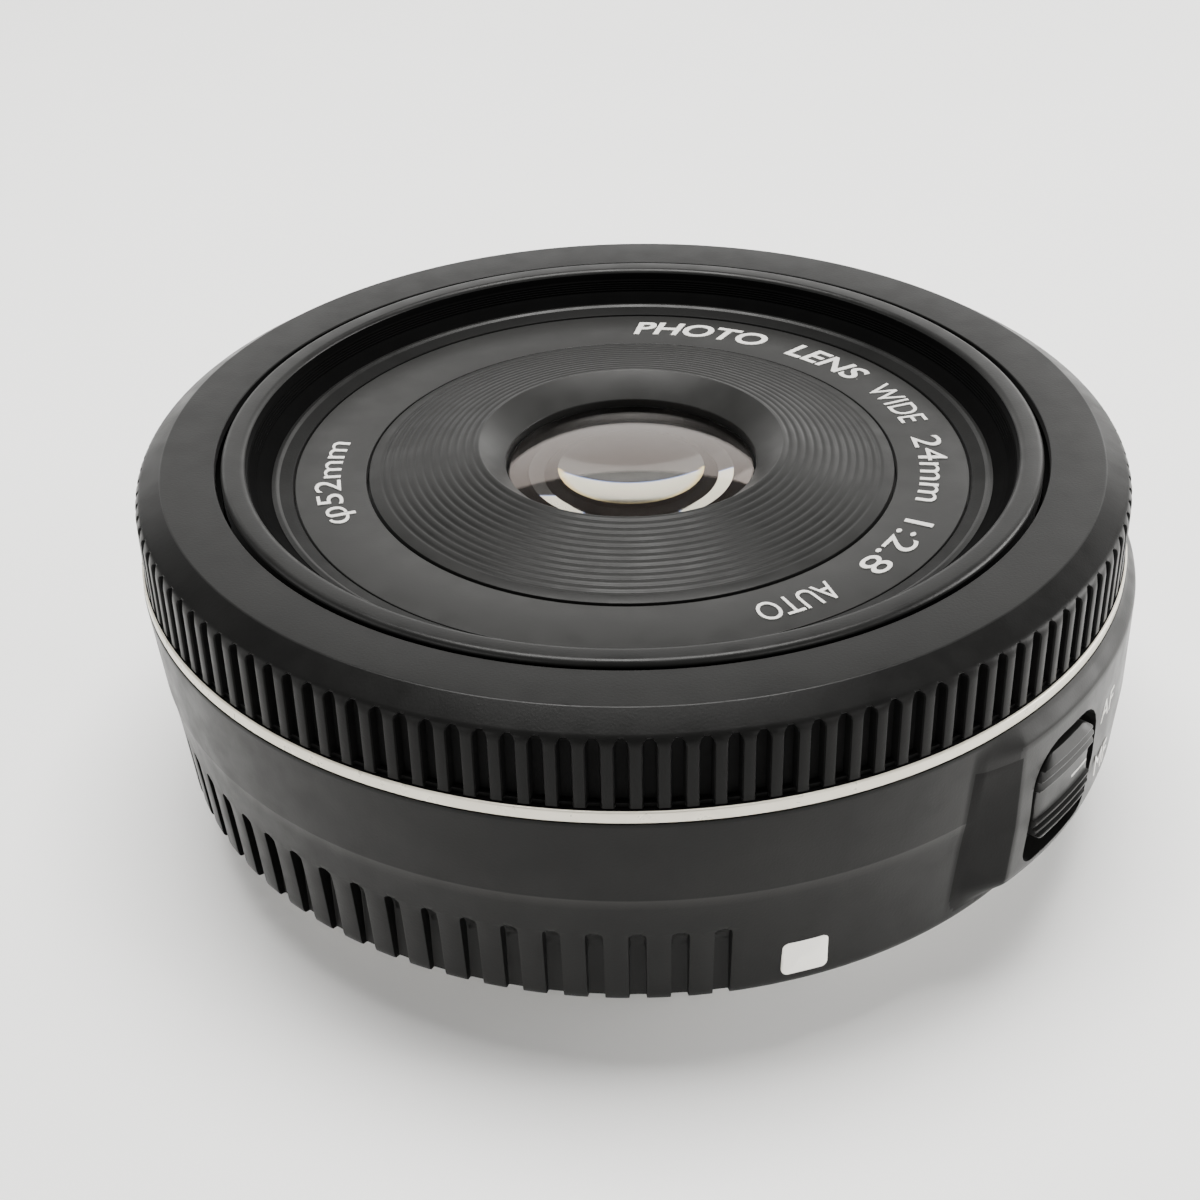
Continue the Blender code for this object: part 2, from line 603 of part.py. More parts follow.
def build_iris():
    base = turned("aperture_base", [(14.9, 14.0), (15.3, 14.0), (15.3, 11.7), (IRIS_BORE, 11.7),
                                    (IRIS_BORE, 12.1), (14.9, 12.1)], MATT_BLACK, 32)
    centre = IRIS_MODULE * (IRIS_RING_TEETH + IRIS_PINION_TEETH) / 2
    ear = place(rod("base_ear", 3.1, 11.7, 12.1, steps=24), centre, IRIS_MOTOR_AZIMUTH)
    shape(base, ear, "UNION")
    mouth = place(rod("base_mouth", 2.9, 12.1, 15.0, steps=24), centre, IRIS_MOTOR_AZIMUTH)
    shape(base, mouth)
    bore = place(rod("ear_bore", 0.7, 11.0, 13.0, steps=16), centre, IRIS_MOTOR_AZIMUTH)
    shape(base, bore)
    turned("aperture_cover", [(IRIS_BORE, 14.45), (15.3, 14.45), (15.3, 14.2),
                              (IRIS_BORE, 14.2)], MATT_BLACK, 32)

    ring = turned("aperture_ring", [(6.9, 14.0), (14.28, 14.0), (14.28, 13.65), (6.9, 13.65)],
                  GEAR_CREAM, 32)
    pitch = 360.0 / IRIS_RING_TEETH
    gaps = [IRIS_MOTOR_AZIMUTH + pitch * number for number in range(-9, 4)]
    shape(ring, ring_of_boxes("iris_gaps", gaps, (13.6, 15.5), 0.62 * math.pi * IRIS_MODULE,
                              (13.0, 15.0)))

    motor = rod("aperture_motor", 2.6, 5.6, 11.4, STEEL, 24)
    shape(motor, rod("aperture_motor_bore", 0.6, 7.5, 12.0))
    place(bpy.data.objects["aperture_motor_bore"], centre, IRIS_MOTOR_AZIMUTH)
    place(motor, centre, IRIS_MOTOR_AZIMUTH)
    outline = tooth_outline(IRIS_PINION_TEETH, IRIS_MODULE)
    pinion = flat_plate("aperture_pinion", [outline], 13.6, 14.05, BRASS)
    shape(pinion, place(rod("aperture_shaft", 0.4, 7.7, 14.2), centre, IRIS_MOTOR_AZIMUTH),
          "UNION")
    place(pinion, centre, IRIS_MOTOR_AZIMUTH)


def build_blades():
    """Crescent blades, each in its own layer, pivoting at one end."""
    outer = [polar(12.9, angle) for angle in (8, 24, 40, 56, 70)]
    inner = [polar(6.7, angle) for angle in (66, 50, 34, 20)]
    heel = [polar(9.5, 6), polar(12.2, -5), polar(13.9, -4), polar(14.1, 3)]
    outline = [(x - BLADE_PIVOT, y) for x, y in heel + outer + [polar(9.6, 76)] + inner]
    for number in range(BLADE_COUNT):
        low = BLADE_LOW + BLADE_STEP * number
        blade = flat_plate(f"aperture_blade_{number + 1}", [outline], low,
                           low + BLADE_THICKNESS, STEEL)
        place(blade, BLADE_PIVOT, 360.0 * number / BLADE_COUNT)


# Focus motor, gear train and electronics

def train_centres():
    """Axes of the idler, the double wheel and the motor, as (x, y) in millimetres."""
    wheel = WHEEL_TEETH * MODULE / 2
    step = wheel + PINION_TEETH * MODULE / 2
    ring = RING_TEETH * MODULE / 2
    idler_reach = ring - wheel

    def swing(first, second):
        cosine = (first ** 2 + second ** 2 - step ** 2) / (2 * first * second)
        return math.degrees(math.acos(cosine))

    double_azimuth = IDLER_AZIMUTH + swing(idler_reach, DOUBLE_REACH)
    motor_azimuth = double_azimuth + swing(DOUBLE_REACH, MOTOR_REACH)
    return (polar(idler_reach, IDLER_AZIMUTH), polar(DOUBLE_REACH, double_azimuth),
            polar(MOTOR_REACH, motor_azimuth))


def bearing(start, end):
    return math.degrees(math.atan2(end[1] - start[1], end[0] - start[0]))


def mesh_phase(teeth, towards, gap_in_line):
    """Phase in teeth that puts a tooth, or a gap, on the line of centres."""
    turns = towards / (360.0 / teeth)
    return turns % 1.0 + (0.5 if gap_in_line else 0.0)


def build_gear_train():
    idler, double, motor = train_centres()

    tip_phase = mesh_phase(WHEEL_TEETH, IDLER_AZIMUTH, False)
    wheel = tooth_outline(WHEEL_TEETH, MODULE, tip_phase)
    gear = flat_plate("reduction_gear_2", [wheel, circle(WHEEL_BORE, 12)], *TRAIN_HIGH, GEAR_CREAM)
    gear.location = (idler[0] * MM, idler[1] * MM, 0.0)

    to_double = bearing(idler, double)
    idler_tooth = (to_double / (360.0 / WHEEL_TEETH) - tip_phase) % 1.0
    back = bearing(double, idler)
    small_phase = back / (360.0 / PINION_TEETH) - (0.5 - idler_tooth)
    small = tooth_outline(PINION_TEETH, MODULE, small_phase % 1.0)
    large = tooth_outline(WHEEL_TEETH, MODULE)
    gear = flat_plate("reduction_gear_1", [large, circle(WHEEL_BORE, 12)], *TRAIN_LOW, GEAR_CREAM)
    hub = flat_plate("double_pinion", [small, circle(WHEEL_BORE, 12)], TRAIN_LOW[1] - 0.2,
                     TRAIN_HIGH[1])
    hub.location = (double[0] * MM, double[1] * MM, 0.0)
    shape(gear, hub, "UNION")
    gear.location = (double[0] * MM, double[1] * MM, 0.0)

    to_motor = bearing(double, motor)
    double_tooth = to_motor / (360.0 / WHEEL_TEETH) % 1.0
    back = bearing(motor, double)
    motor_phase = back / (360.0 / PINION_TEETH) - (0.5 - double_tooth)
    outline = tooth_outline(PINION_TEETH, MODULE, motor_phase % 1.0)
    pinion = flat_plate("motor_pinion", [outline], *TRAIN_LOW, BRASS)
    shaft = rod("motor_shaft", 0.5, TRAIN_LOW[0], 8.4)
    shaft.location = (motor[0] * MM, motor[1] * MM, 0.0)
    shape(pinion, shaft, "UNION")
    pinion.location = (motor[0] * MM, motor[1] * MM, 0.0)

    can = rod("focus_motor", MOTOR_RADIUS, 6.9, 12.6, STEEL, 28)
    bore = rod("motor_bore", 0.7, 6.0, 8.7)
    bore.location = (motor[0] * MM, motor[1] * MM, 0.0)
    shape(can, bore)
    can.location = (motor[0] * MM, motor[1] * MM, 0.0)
    return idler, double, motor


def build_gear_plates(idler, double, motor):
    """Base plate with the gear pins, and the cover plate that carries the motor."""
    start = IDLER_AZIMUTH - 12.0
    end = math.degrees(math.atan2(motor[1], motor[0])) + 10.0
    plate = sector("gear_plate", PLATE_RADII, (start, end), (3.6, 4.1), STEEL)
    for number, (x, y) in enumerate((idler, double)):
        pin = rod(f"gear_pin_{number}", 0.6, 3.8, 6.05)
        pin.location = (x * MM, y * MM, 0.0)
        shape(plate, pin, "UNION")
    for number, azimuth in enumerate((start + 2.5, end - 2.5)):
        post = place(rod(f"gear_post_{number}", 0.7, 3.8, 6.1), 18.8, azimuth)
        shape(plate, post, "UNION")
    cover = sector("gear_cover", PLATE_RADII, (start, end), (6.3, 6.65), STEEL)
    shaft_hole = rod("cover_hole", 0.9, 5.5, 7.5)
    shaft_hole.location = (motor[0] * MM, motor[1] * MM, 0.0)
    shape(cover, shaft_hole)


def build_electronics():
    board = sector("circuit_board", (17.6, 26.2), (160.0, 385.0), (3.9, 4.7), BOARD_GREEN, 20)
    shape(board, ring_of_rods("board_holes", (168.0, 272.0, 376.0), 24.5, 0.8, (3.0, 6.0)))


clear_scene()
PARTS = new_collection("prime_lens")
CUTTERS = new_collection("cutters")

build_rear_casing()
build_index_mark()
build_switch()
build_trim_ring()
build_focus_ring()
build_focus_encoder()
build_mount()
build_contacts()
build_rear_baffle()
build_fixed_barrel()
build_drive_ring()
build_focusing_barrel()
build_front_trim()
build_cells()
build_lenses()
build_iris()
build_blades()
build_gear_plates(*build_gear_train())
build_electronics()

for piece in PARTS.objects:
    piece.data.shade_smooth()
    piece.data.set_sharp_from_angle(angle=math.radians(35.0))
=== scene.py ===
"""Looks for the slim prime lens: fine shells, ribs, lettering and glass around the CAD frame.

Lengths are in millimetres and become metres through MM. Heights run along the optical
axis from the mount flange, azimuths are degrees anticlockwise seen from the front.
"""

import json
from math import atan2, cos, degrees, exp, pi, radians, sin, sqrt, tan

import bmesh
import bpy
from mathutils import Matrix, Vector


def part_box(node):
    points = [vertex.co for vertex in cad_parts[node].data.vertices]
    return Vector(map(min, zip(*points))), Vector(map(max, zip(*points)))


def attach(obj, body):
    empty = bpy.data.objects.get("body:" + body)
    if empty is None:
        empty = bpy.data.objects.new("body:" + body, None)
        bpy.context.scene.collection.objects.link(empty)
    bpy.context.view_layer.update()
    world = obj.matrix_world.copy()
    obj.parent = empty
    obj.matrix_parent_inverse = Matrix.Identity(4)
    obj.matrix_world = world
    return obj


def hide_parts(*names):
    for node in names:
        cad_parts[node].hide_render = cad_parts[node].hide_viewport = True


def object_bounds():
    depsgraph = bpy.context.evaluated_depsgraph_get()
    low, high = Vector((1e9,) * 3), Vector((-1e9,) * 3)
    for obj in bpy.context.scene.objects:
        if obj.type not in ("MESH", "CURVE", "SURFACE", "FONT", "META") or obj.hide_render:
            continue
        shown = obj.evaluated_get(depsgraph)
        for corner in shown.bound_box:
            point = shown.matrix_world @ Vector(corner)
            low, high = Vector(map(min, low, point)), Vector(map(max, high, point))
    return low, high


MM = 0.001
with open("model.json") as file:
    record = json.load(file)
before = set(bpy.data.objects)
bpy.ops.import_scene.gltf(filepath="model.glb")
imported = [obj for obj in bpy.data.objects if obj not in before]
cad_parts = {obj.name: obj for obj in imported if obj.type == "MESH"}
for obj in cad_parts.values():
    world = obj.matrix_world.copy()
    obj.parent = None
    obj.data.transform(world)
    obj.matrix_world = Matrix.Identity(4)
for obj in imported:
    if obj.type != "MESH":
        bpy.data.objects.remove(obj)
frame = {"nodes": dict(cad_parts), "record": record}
cad_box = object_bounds()


def foot(node):
    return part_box(node)[0][2] / MM


def top(node):
    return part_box(node)[1][2] / MM


def reach(node):
    """Largest half width of a node that runs round the axis."""
    low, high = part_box(node)
    return max(-low[0], high[1]) / MM


# ---------------------------------------------------------------- materials

class Paint:
    """A node material whose textures all sit in the object's own space."""

    def __init__(self, name):
        self.material = bpy.data.materials.new(name)
        self.material.use_nodes = True
        tree = self.material.node_tree
        self.nodes, self.links = tree.nodes, tree.links
        self.shader = self.nodes["Principled BSDF"]
        self.place = self.nodes.new("ShaderNodeTexCoord").outputs["Object"]
        self.normal = None

    def link(self, value, socket):
        self.links.new(value, self.shader.inputs[socket])

    def set(self, **values):
        for socket, value in values.items():
            name = socket.replace("_", " ")
            if isinstance(value, tuple):
                value = (*value, 1.0)
            self.shader.inputs[name].default_value = value
        return self

    def noise(self, grain_mm, detail=3.0):
        node = self.nodes.new("ShaderNodeTexNoise")
        node.inputs["Scale"].default_value = 1.0 / (grain_mm * MM)
        node.inputs["Detail"].default_value = detail
        self.links.new(self.place, node.inputs["Vector"])
        return node.outputs["Fac"]

    def ramp(self, value, *stops):
        """Blend colours (tuples) along a value; every stop is (position, colour)."""
        node = self.nodes.new("ShaderNodeValToRGB")
        band = node.color_ramp
        while len(band.elements) < len(stops):
            band.elements.new(0.5)
        for element, (position, colour) in zip(band.elements, stops):
            element.position = position
            element.color = (*colour, 1.0)
        self.links.new(value, node.inputs["Fac"])
        return node.outputs["Color"]

    def span(self, value, low, high, start=0.35, end=0.65):
        """Run from low to high while the value goes from start to end, and stay there beyond."""
        node = self.nodes.new("ShaderNodeMapRange")
        for socket, number in (("From Min", start), ("From Max", end),
                               ("To Min", low), ("To Max", high)):
            node.inputs[socket].default_value = number
        self.links.new(value, node.inputs["Value"])
        return node.outputs["Result"]

    def math(self, operation, first, second=0.0):
        node = self.nodes.new("ShaderNodeMath")
        node.operation = operation
        for socket, value in zip(node.inputs, (first, second)):
            if isinstance(value, (int, float)):
                socket.default_value = value
            else:
                self.links.new(value, socket)
        return node.outputs["Value"]

    def blend(self, share, first, second):
        """Mix two colours, each a tuple or a socket, by a share that varies over the surface."""
        node = self.nodes.new("ShaderNodeMix")
        node.data_type = "RGBA"
        self.links.new(share, node.inputs["Factor"])
        for socket, colour in ((node.inputs[6], first), (node.inputs[7], second)):
            if isinstance(colour, tuple):
                socket.default_value = (*colour, 1.0)
            else:
                self.links.new(colour, socket)
        return node.outputs[2]

    def bump(self, height, depth_mm):
        node = self.nodes.new("ShaderNodeBump")
        node.inputs["Distance"].default_value = depth_mm * MM
        self.links.new(height, node.inputs["Height"])
        if self.normal is not None:
            self.links.new(self.normal, node.inputs["Normal"])
        self.normal = node.outputs["Normal"]
        self.links.new(self.normal, self.shader.inputs["Normal"])

    def specks(self, cell_mm, share, size=0.2):
        """1 on a few scattered dots, 0 elsewhere."""
        cells = self.nodes.new("ShaderNodeTexVoronoi")
        cells.inputs["Scale"].default_value = 1.0 / (cell_mm * MM)
        self.links.new(self.place, cells.inputs["Vector"])
        chosen = self.math("LESS_THAN", self.channel(cells.outputs["Color"], "Red"), share)
        near = self.math("LESS_THAN", cells.outputs["Distance"], size)
        return self.math("MULTIPLY", chosen, near)

    def channel(self, colour, name):
        node = self.nodes.new("ShaderNodeSeparateColor")
        self.links.new(colour, node.inputs["Color"])
        return node.outputs[name]

    def along(self, axis):
        """An object-space coordinate in millimetres."""
        split = self.nodes.new("ShaderNodeSeparateXYZ")
        self.links.new(self.place, split.inputs["Vector"])
        return self.math("MULTIPLY", split.outputs[axis], 1.0 / MM)

    def height_share(self, low, high):
        """0 below one height, rising to 1 at the other, then 0 above it; in millimetres."""
        height = self.along("Z")
        return self.math("MULTIPLY", self.span(height, 0.0, 1.0, low, high),
                         self.math("LESS_THAN", height, high))

    def radius(self):
        """Distance from the optical axis, in millimetres."""
        x, y = self.along("X"), self.along("Y")
        squares = self.math("ADD", self.math("MULTIPLY", x, x), self.math("MULTIPLY", y, y))
        return self.math("SQRT", squares)


DUST = (0.2, 0.195, 0.185)
# the lighter colour of the painted highlight just under the casing's crease
CREASE_HIGHLIGHT = (0.020, 0.0197, 0.0187)
CREASE = 9.5                # the height of the casing's crease


def plastic(name, dark, light, roughness, grain_mm=0.16, grain_depth=0.006, dust=0.0, ior=1.28,
            band=None):
    """Moulded plastic: fine spark-eroded grain, slightly uneven sheen, and a little dust.

    dust is the share of cells with a speck, and band the two heights between which a painted highlight
    lightens the colour, most at the upper one.
    """
    paint = Paint(name)
    colour = paint.ramp(paint.noise(6.0, 4.0), (0.3, dark), (0.7, light))
    sheen = paint.span(paint.noise(2.2, 5.0), roughness - 0.05, roughness + 0.05)
    # painted highlight: lighter between the band's two heights
    if band:
        colour = paint.blend(paint.height_share(*band), colour, CREASE_HIGHLIGHT)
    if dust:
        colour = paint.blend(paint.specks(1.3, dust, 0.04), colour, DUST)
    paint.link(colour, "Base Color")
    paint.link(sheen, "Roughness")
    paint.bump(paint.noise(grain_mm, 2.0), grain_depth)
    paint.set(IOR=ior, Sheen_Weight=0.03, Sheen_Roughness=0.4)
    return paint.material


TURNING_PITCH = 0.09        # between the fine lines that a lathe leaves


def metal(name, dark, light, roughness, turned=True, metallic=1.0):
    """Machined metal with fine turning lines round the axis, or an even grain."""
    paint = Paint(name)
    colour = paint.ramp(paint.noise(3.0, 4.0), (0.3, dark), (0.7, light))
    paint.link(colour, "Base Color")
    paint.link(paint.span(paint.noise(1.1, 4.0), roughness - 0.03, roughness + 0.04), "Roughness")
    if turned:
        lines = paint.math("SINE", paint.math("MULTIPLY", paint.radius(), 2 * pi / TURNING_PITCH))
        paint.bump(lines, 0.0012)
    paint.bump(paint.noise(0.12, 2.0), 0.0007)
    paint.set(Metallic=metallic)
    return paint.material


def glass(name, tint, ior=1.5):
    paint = Paint(name)
    haze = paint.ramp(paint.noise(4.0, 2.0), (0.2, tint), (0.8, tuple(min(1.0, c * 1.04) for c in tint)))
    paint.link(haze, "Base Color")
    paint.link(paint.span(paint.noise(0.8, 3.0), 0.0, 0.02), "Roughness")
    paint.set(Transmission_Weight=1.0, IOR=ior)
    return paint


def coated(paint, tint):
    """A warm antireflection coating over a glass."""
    return paint.set(Specular_Tint=tint).material


BLACKS = (0.0062, 0.0062, 0.0060), (0.0085, 0.0085, 0.0081)
SATIN = plastic("satin_black_plastic", *BLACKS, 0.36, dust=0.012)
# band: a painted highlight just under the crease, lightest at the crease and fading downwards
CASING = plastic("casing_black_plastic", *BLACKS, 0.38, dust=0.012, ior=1.2,
                 band=(CREASE - 0.9, CREASE - 0.03))
# a darker copy of the black plastic: painted shade on the pad's left flank and on the step round the name
# ring
SHADE_PLASTIC = plastic("painted_shade_plastic", (0.0050, 0.0050, 0.0049), (0.0065, 0.0065, 0.0062), 0.42, ior=1.14)
# darker than the face's and casing's plastic: painted shade for the ribs' self-shadow
RIB = plastic("ribbed_black_plastic", (0.0045, 0.0045, 0.0044), (0.0060, 0.0060, 0.0058), 0.34, dust=0.02,
              ior=1.17)
FACE = plastic("face_black_plastic", (0.0055, 0.0055, 0.0053), (0.0075, 0.0075, 0.0072), 0.34, dust=0.02,
               ior=1.24)
# near black: painted shade in the barrel's threaded recess and in the gap under its lip
SHADE_BLACK = plastic("painted_shade_black", (0.0012, 0.0012, 0.0012), (0.0018, 0.0018, 0.0018), 0.7, grain_mm=0.1,
               ior=1.05)
MATT = plastic("matt_black", (0.0022, 0.0022, 0.0022), (0.0036, 0.0036, 0.0036), 0.62, grain_mm=0.1,
               ior=1.12)
NAME = plastic("name_ring_grey", (0.015, 0.015, 0.0144), (0.0175, 0.0175, 0.0169), 0.38, grain_mm=0.12,
               grain_depth=0.003, dust=0.03)
BAFFLE = plastic("baffle_grey", (0.0085, 0.0085, 0.0081), (0.0105, 0.0105, 0.0100), 0.4, grain_mm=0.12,
                 grain_depth=0.003, dust=0.02, ior=1.25)
SILVER = metal("silver_trim", (0.64, 0.60, 0.50), (0.72, 0.68, 0.575), 0.3, turned=False, metallic=0.35)
STEEL = metal("mount_steel", (0.56, 0.55, 0.54), (0.60, 0.59, 0.58), 0.27)
BRASS = metal("gilt_contact", (0.75, 0.55, 0.25), (0.84, 0.65, 0.33), 0.24, turned=False)
WHITE = plastic("cream_white", (0.95, 0.92, 0.84), (0.98, 0.96, 0.89), 0.2, grain_depth=0.001, ior=1.45)
INK = plastic("label_white", (0.62, 0.61, 0.58), (0.70, 0.69, 0.66), 0.5, grain_mm=0.08, grain_depth=0.004)
CREAM_GEAR = plastic("gear_plastic", (0.66, 0.62, 0.50), (0.74, 0.70, 0.60), 0.45)
BOARD = plastic("board_green", (0.02, 0.12, 0.05), (0.03, 0.17, 0.08), 0.4)
SCREW_BLACK = metal("blackened_steel", (0.05, 0.05, 0.05), (0.08, 0.08, 0.08), 0.38, turned=False)
GLASS = coated(glass("coated_glass", (0.90, 0.92, 0.93)), (1.0, 0.92, 0.86))
FRONT_GLASS = coated(glass("front_coated_glass", (0.98, 0.95, 0.92), 1.42), (1.0, 0.70, 0.56))

CARRIED = {"black_plastic": SATIN, "matt_black": MATT, "name_ring_grey": NAME, "silver_trim": SILVER,
           "mount_metal": STEEL, "steel": STEEL, "brass": BRASS, "white_mark": WHITE,
           "gear_plastic": CREAM_GEAR, "board_green": BOARD, "glass": GLASS}

# every CAD node that is carried over wears its slot's material; the sleeves and cam pins in the gap take
# the matt black instead, painted shade that keeps the gap dark
for subpart in frame["record"]["subparts"]:
    node = frame["nodes"][subpart["node"]]
    node.data.materials.clear()
    node.data.materials.append(CARRIED[subpart["material_slot"]])
for name in ("drive_ring", "cam_pin_1", "cam_pin_2", "cam_pin_3", "fixed_barrel"):
    frame["nodes"][name].data.materials[0] = MATT


# ---------------------------------------------------------------- mesh helpers

def solid(name, points, faces, sharp=32.0):
    """A mesh piece from points in millimetres, with doubles merged and faces turned outwards."""
    mesh = bpy.data.meshes.new(name)
    mesh.from_pydata([(x * MM, y * MM, z * MM) for x, y, z in points], [], faces)
    tidy = bmesh.new()
    tidy.from_mesh(mesh)
    bmesh.ops.remove_doubles(tidy, verts=tidy.verts, dist=1e-7)
    bmesh.ops.recalc_face_normals(tidy, faces=tidy.faces)
    tidy.to_mesh(mesh)
    tidy.free()
    made = bpy.data.objects.new(name, mesh)
    bpy.context.scene.collection.objects.link(made)
    shade(made, sharp)
    return made


def shade(piece, sharp=32.0):
    """Smooth shading, but for the edges that bend more than this many degrees."""
    piece.data.polygons.foreach_set("use_smooth", [True] * len(piece.data.polygons))
    piece.data.set_sharp_from_angle(angle=radians(sharp))


def finish_piece(piece, material, body, slot, *nodes):
    """Paint a piece, fix it to its body, and let it stand in for the CAD nodes named."""
    piece.data.materials.clear()
    piece.data.materials.append(material)
    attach(piece, body)
    if nodes:
        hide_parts(*nodes)
    return piece


def paint_zone(piece, material, inside):
    """Give the faces that pass the test (face, radius, height) another material."""
    piece.data.materials.append(material)
    for face in piece.data.polygons:
        if inside(face, face.center.xy.length / MM, face.center.z / MM):
            face.material_index = len(piece.data.materials) - 1


def filleted(corners, steps=4):
    """Profile points from (radius, height) or (radius, height, fillet) corners."""
    points = []
    for index, corner in enumerate(corners):
        here = Vector(corner[:2])
        if len(corner) < 3:
            points.append(tuple(here))
            continue
        before = Vector(corners[index - 1][:2]) - here
        after = Vector(corners[(index + 1) % len(corners)][:2]) - here
        half = before.angle(after) / 2
        run = min(corner[2] / tan(half), before.length * 0.49, after.length * 0.49)
        back, ahead = before.normalized(), after.normalized()
        centre = here + (back + ahead).normalized() * (run / cos(half))
        start, end = here + back * run - centre, here + ahead * run - centre
        turn = atan2(start.x * end.y - start.y * end.x, start.dot(end))
        for step in range(steps + 1):
            angle = turn * step / steps
            points.append((centre.x + start.x * cos(angle) - start.y * sin(angle),
                           centre.y + start.x * sin(angle) + start.y * cos(angle)))
    return points


def polar(radius, azimuth, height):
    angle = radians(azimuth)
    return radius * cos(angle), radius * sin(angle), height


def skin(loops, count, round_trip=True, closed=True):
    """Quads between neighbouring loops of count points.

    round_trip joins the last loop to the first, closed the last point of a loop to its first.
    """
    faces = []
    for loop in range(loops if round_trip else loops - 1):
        this, following = loop * count, (loop + 1) % loops * count
        for index in range(count if closed else count - 1):
            up = (index + 1) % count
            faces.append((this + index, following + index, following + up, this + up))
    return faces


def ends(loops, count):
    """The first and the last loop as faces."""
    return [tuple(range(count)), tuple(range((loops - 1) * count, loops * count))]


def turned(name, corners, steps=300, fillet_steps=4, sharp=32.0, closed=True):
    """Turn a profile round the optical axis."""
    profile = filleted(corners, fillet_steps)
    points = [polar(r, 360.0 * step / steps, z) for step in range(steps) for r, z in profile]
    return solid(name, points, skin(steps, len(profile), closed=closed), sharp)


def ring_grid(name, columns, rows, place):
    """A closed ring whose point at (column, row) is place(column, row)."""
    points = [place(column, row) for column in columns for row in rows]
    return solid(name, points, skin(len(columns), len(rows)))


def cut(piece, cutter, operation="DIFFERENCE"):
    """Boolean a piece with a cutter, and drop the cutter."""
    tool = piece.modifiers.new("cut", "BOOLEAN")
    tool.solver = "EXACT"
    tool.operation = operation
    tool.object = cutter
    shaped = bpy.data.meshes.new_from_object(
        piece.evaluated_get(bpy.context.evaluated_depsgraph_get()))
    piece.modifiers.clear()
    piece.data = shaped
    bpy.data.objects.remove(cutter, do_unlink=True)
    return piece


def wrapped(azimuth, radius, height):
    """Map flat (right, up, out) millimetres on to the cylinder round the axis."""
    def place(right, up, out):
        return polar(radius + out, azimuth + degrees(right / radius), height + up)
    return place


# ---------------------------------------------------------------- rear casing

CASING_FOOT, CASING_TOP = foot("rear_casing"), foot("trim_ring") + 0.15
WALL_TOP, WALL_TAPER = 34.3, 0.083
SKIRT_TAPER = 0.085
HOLLOW, HOLLOW_RUN = 0.2, 1.6
FLUTE_PITCH, FLUTE_COUNT, FLUTE_FIRST = 4.5, 57, -81.1
FLUTE_RADIUS = 33.0         # where the flutes' width is measured
FLUTE_HALF = 0.52
FLUTE_FLOOR = 32.35
FLUTE_TOP = 6.4
FLUTE_CORNER = 0.35
PAD_LEFT, PAD_RIGHT = -47.4, -1.0
PAD_FLARE = 6.1             # degrees over which its flanks rise
PAD_FACE = 35.08
PAD_CROWN, PAD_CROWN_GAP = 1.1, 0.2
PAD_FOOT, PAD_FOOT_RISE = 1.1, 2.2
PAD_TAPER, PAD_TAPER_TOP = 0.07, 8.0
FLANK_TOP = 13.6
CASING_BORE = 32.0


def casing_wall(height):
    """Radius of the plain casing: a steep upper wall, a crease, then a hollow curve to the foot."""
    if height >= CREASE:
        return WALL_TOP - WALL_TAPER * (CASING_TOP - height)
    below = CREASE - height
    hollow = HOLLOW * (1.0 - exp(-below / HOLLOW_RUN))
    return WALL_TOP - WALL_TAPER * (CASING_TOP - CREASE) - SKIRT_TAPER * below - hollow


def eased(share, fillet=0.05):
    """A ramp from 0 to 1 with both ends rounded off."""
    if share < -fillet or share > 1.0 + fillet:
        return min(1.0, max(0.0, share))
    if share < fillet:
        return (share + fillet) ** 2 / (4.0 * fillet)
    if share > 1.0 - fillet:
        return 1.0 - (1.0 + fillet - share) ** 2 / (4.0 * fillet)
    return share


def pad_share(azimuth, height):
    """How much of the switch pad stands out here: 1 on its face, 0 off it."""
    left = (azimuth - (PAD_LEFT - PAD_FLARE)) / PAD_FLARE
    right = (PAD_RIGHT + PAD_FLARE - azimuth) / PAD_FLARE
    side = eased(min(left, right))
    crown = eased((CASING_TOP - PAD_CROWN_GAP - height) / PAD_CROWN, 0.25)
    foot_slope = eased((height - PAD_FOOT) / PAD_FOOT_RISE, 0.15)
    return side * crown * foot_slope


def casing_radius(azimuth, height):
    """The casing's wall, out to the pad: the crease runs out where the pad's flank starts."""
    share = pad_share(azimuth, height)
    wall = casing_wall(height)
    plain = casing_wall(CREASE) - 0.135 * (CREASE - height)
    wall += (min(plain, casing_wall(CASING_TOP)) - wall) * min(1.0, 5.0 * share)
    face = PAD_FACE - PAD_TAPER * max(0.0, PAD_TAPER_TOP - height)
    return wall + (face - wall) * share


def casing_columns():
    """(azimuth of flute centre, offset in mm, depth share) or (azimuth, None, 0) off the flutes."""
    columns = []
    edges = ((-FLUTE_HALF - 0.13, 0.0), (-FLUTE_HALF - 0.03, 0.05), (-FLUTE_HALF + 0.01, 0.93),
             (-FLUTE_HALF + 0.10, 1.0), (0.0, 1.0))
    edges += tuple((-offset, share) for offset, share in reversed(edges[:-1]))
    for number in range(FLUTE_COUNT):
        centre = FLUTE_FIRST - FLUTE_PITCH * (FLUTE_COUNT - 1 - number)
        columns.append((centre - FLUTE_PITCH / 2, None, 0.0))
        columns += [(centre, offset, share) for offset, share in edges]
    start = FLUTE_FIRST + FLUTE_PITCH / 2
    end = FLUTE_FIRST - FLUTE_PITCH * (FLUTE_COUNT - 1) - FLUTE_PITCH / 2 + 360.0
    count = int((end - start) / 0.2)
    columns += [(start + (end - start) * step / count, None, 0.0) for step in range(count)]
    return columns


FLUTE_RAMP = 1.7            # height over which a flute's floor comes out at its top


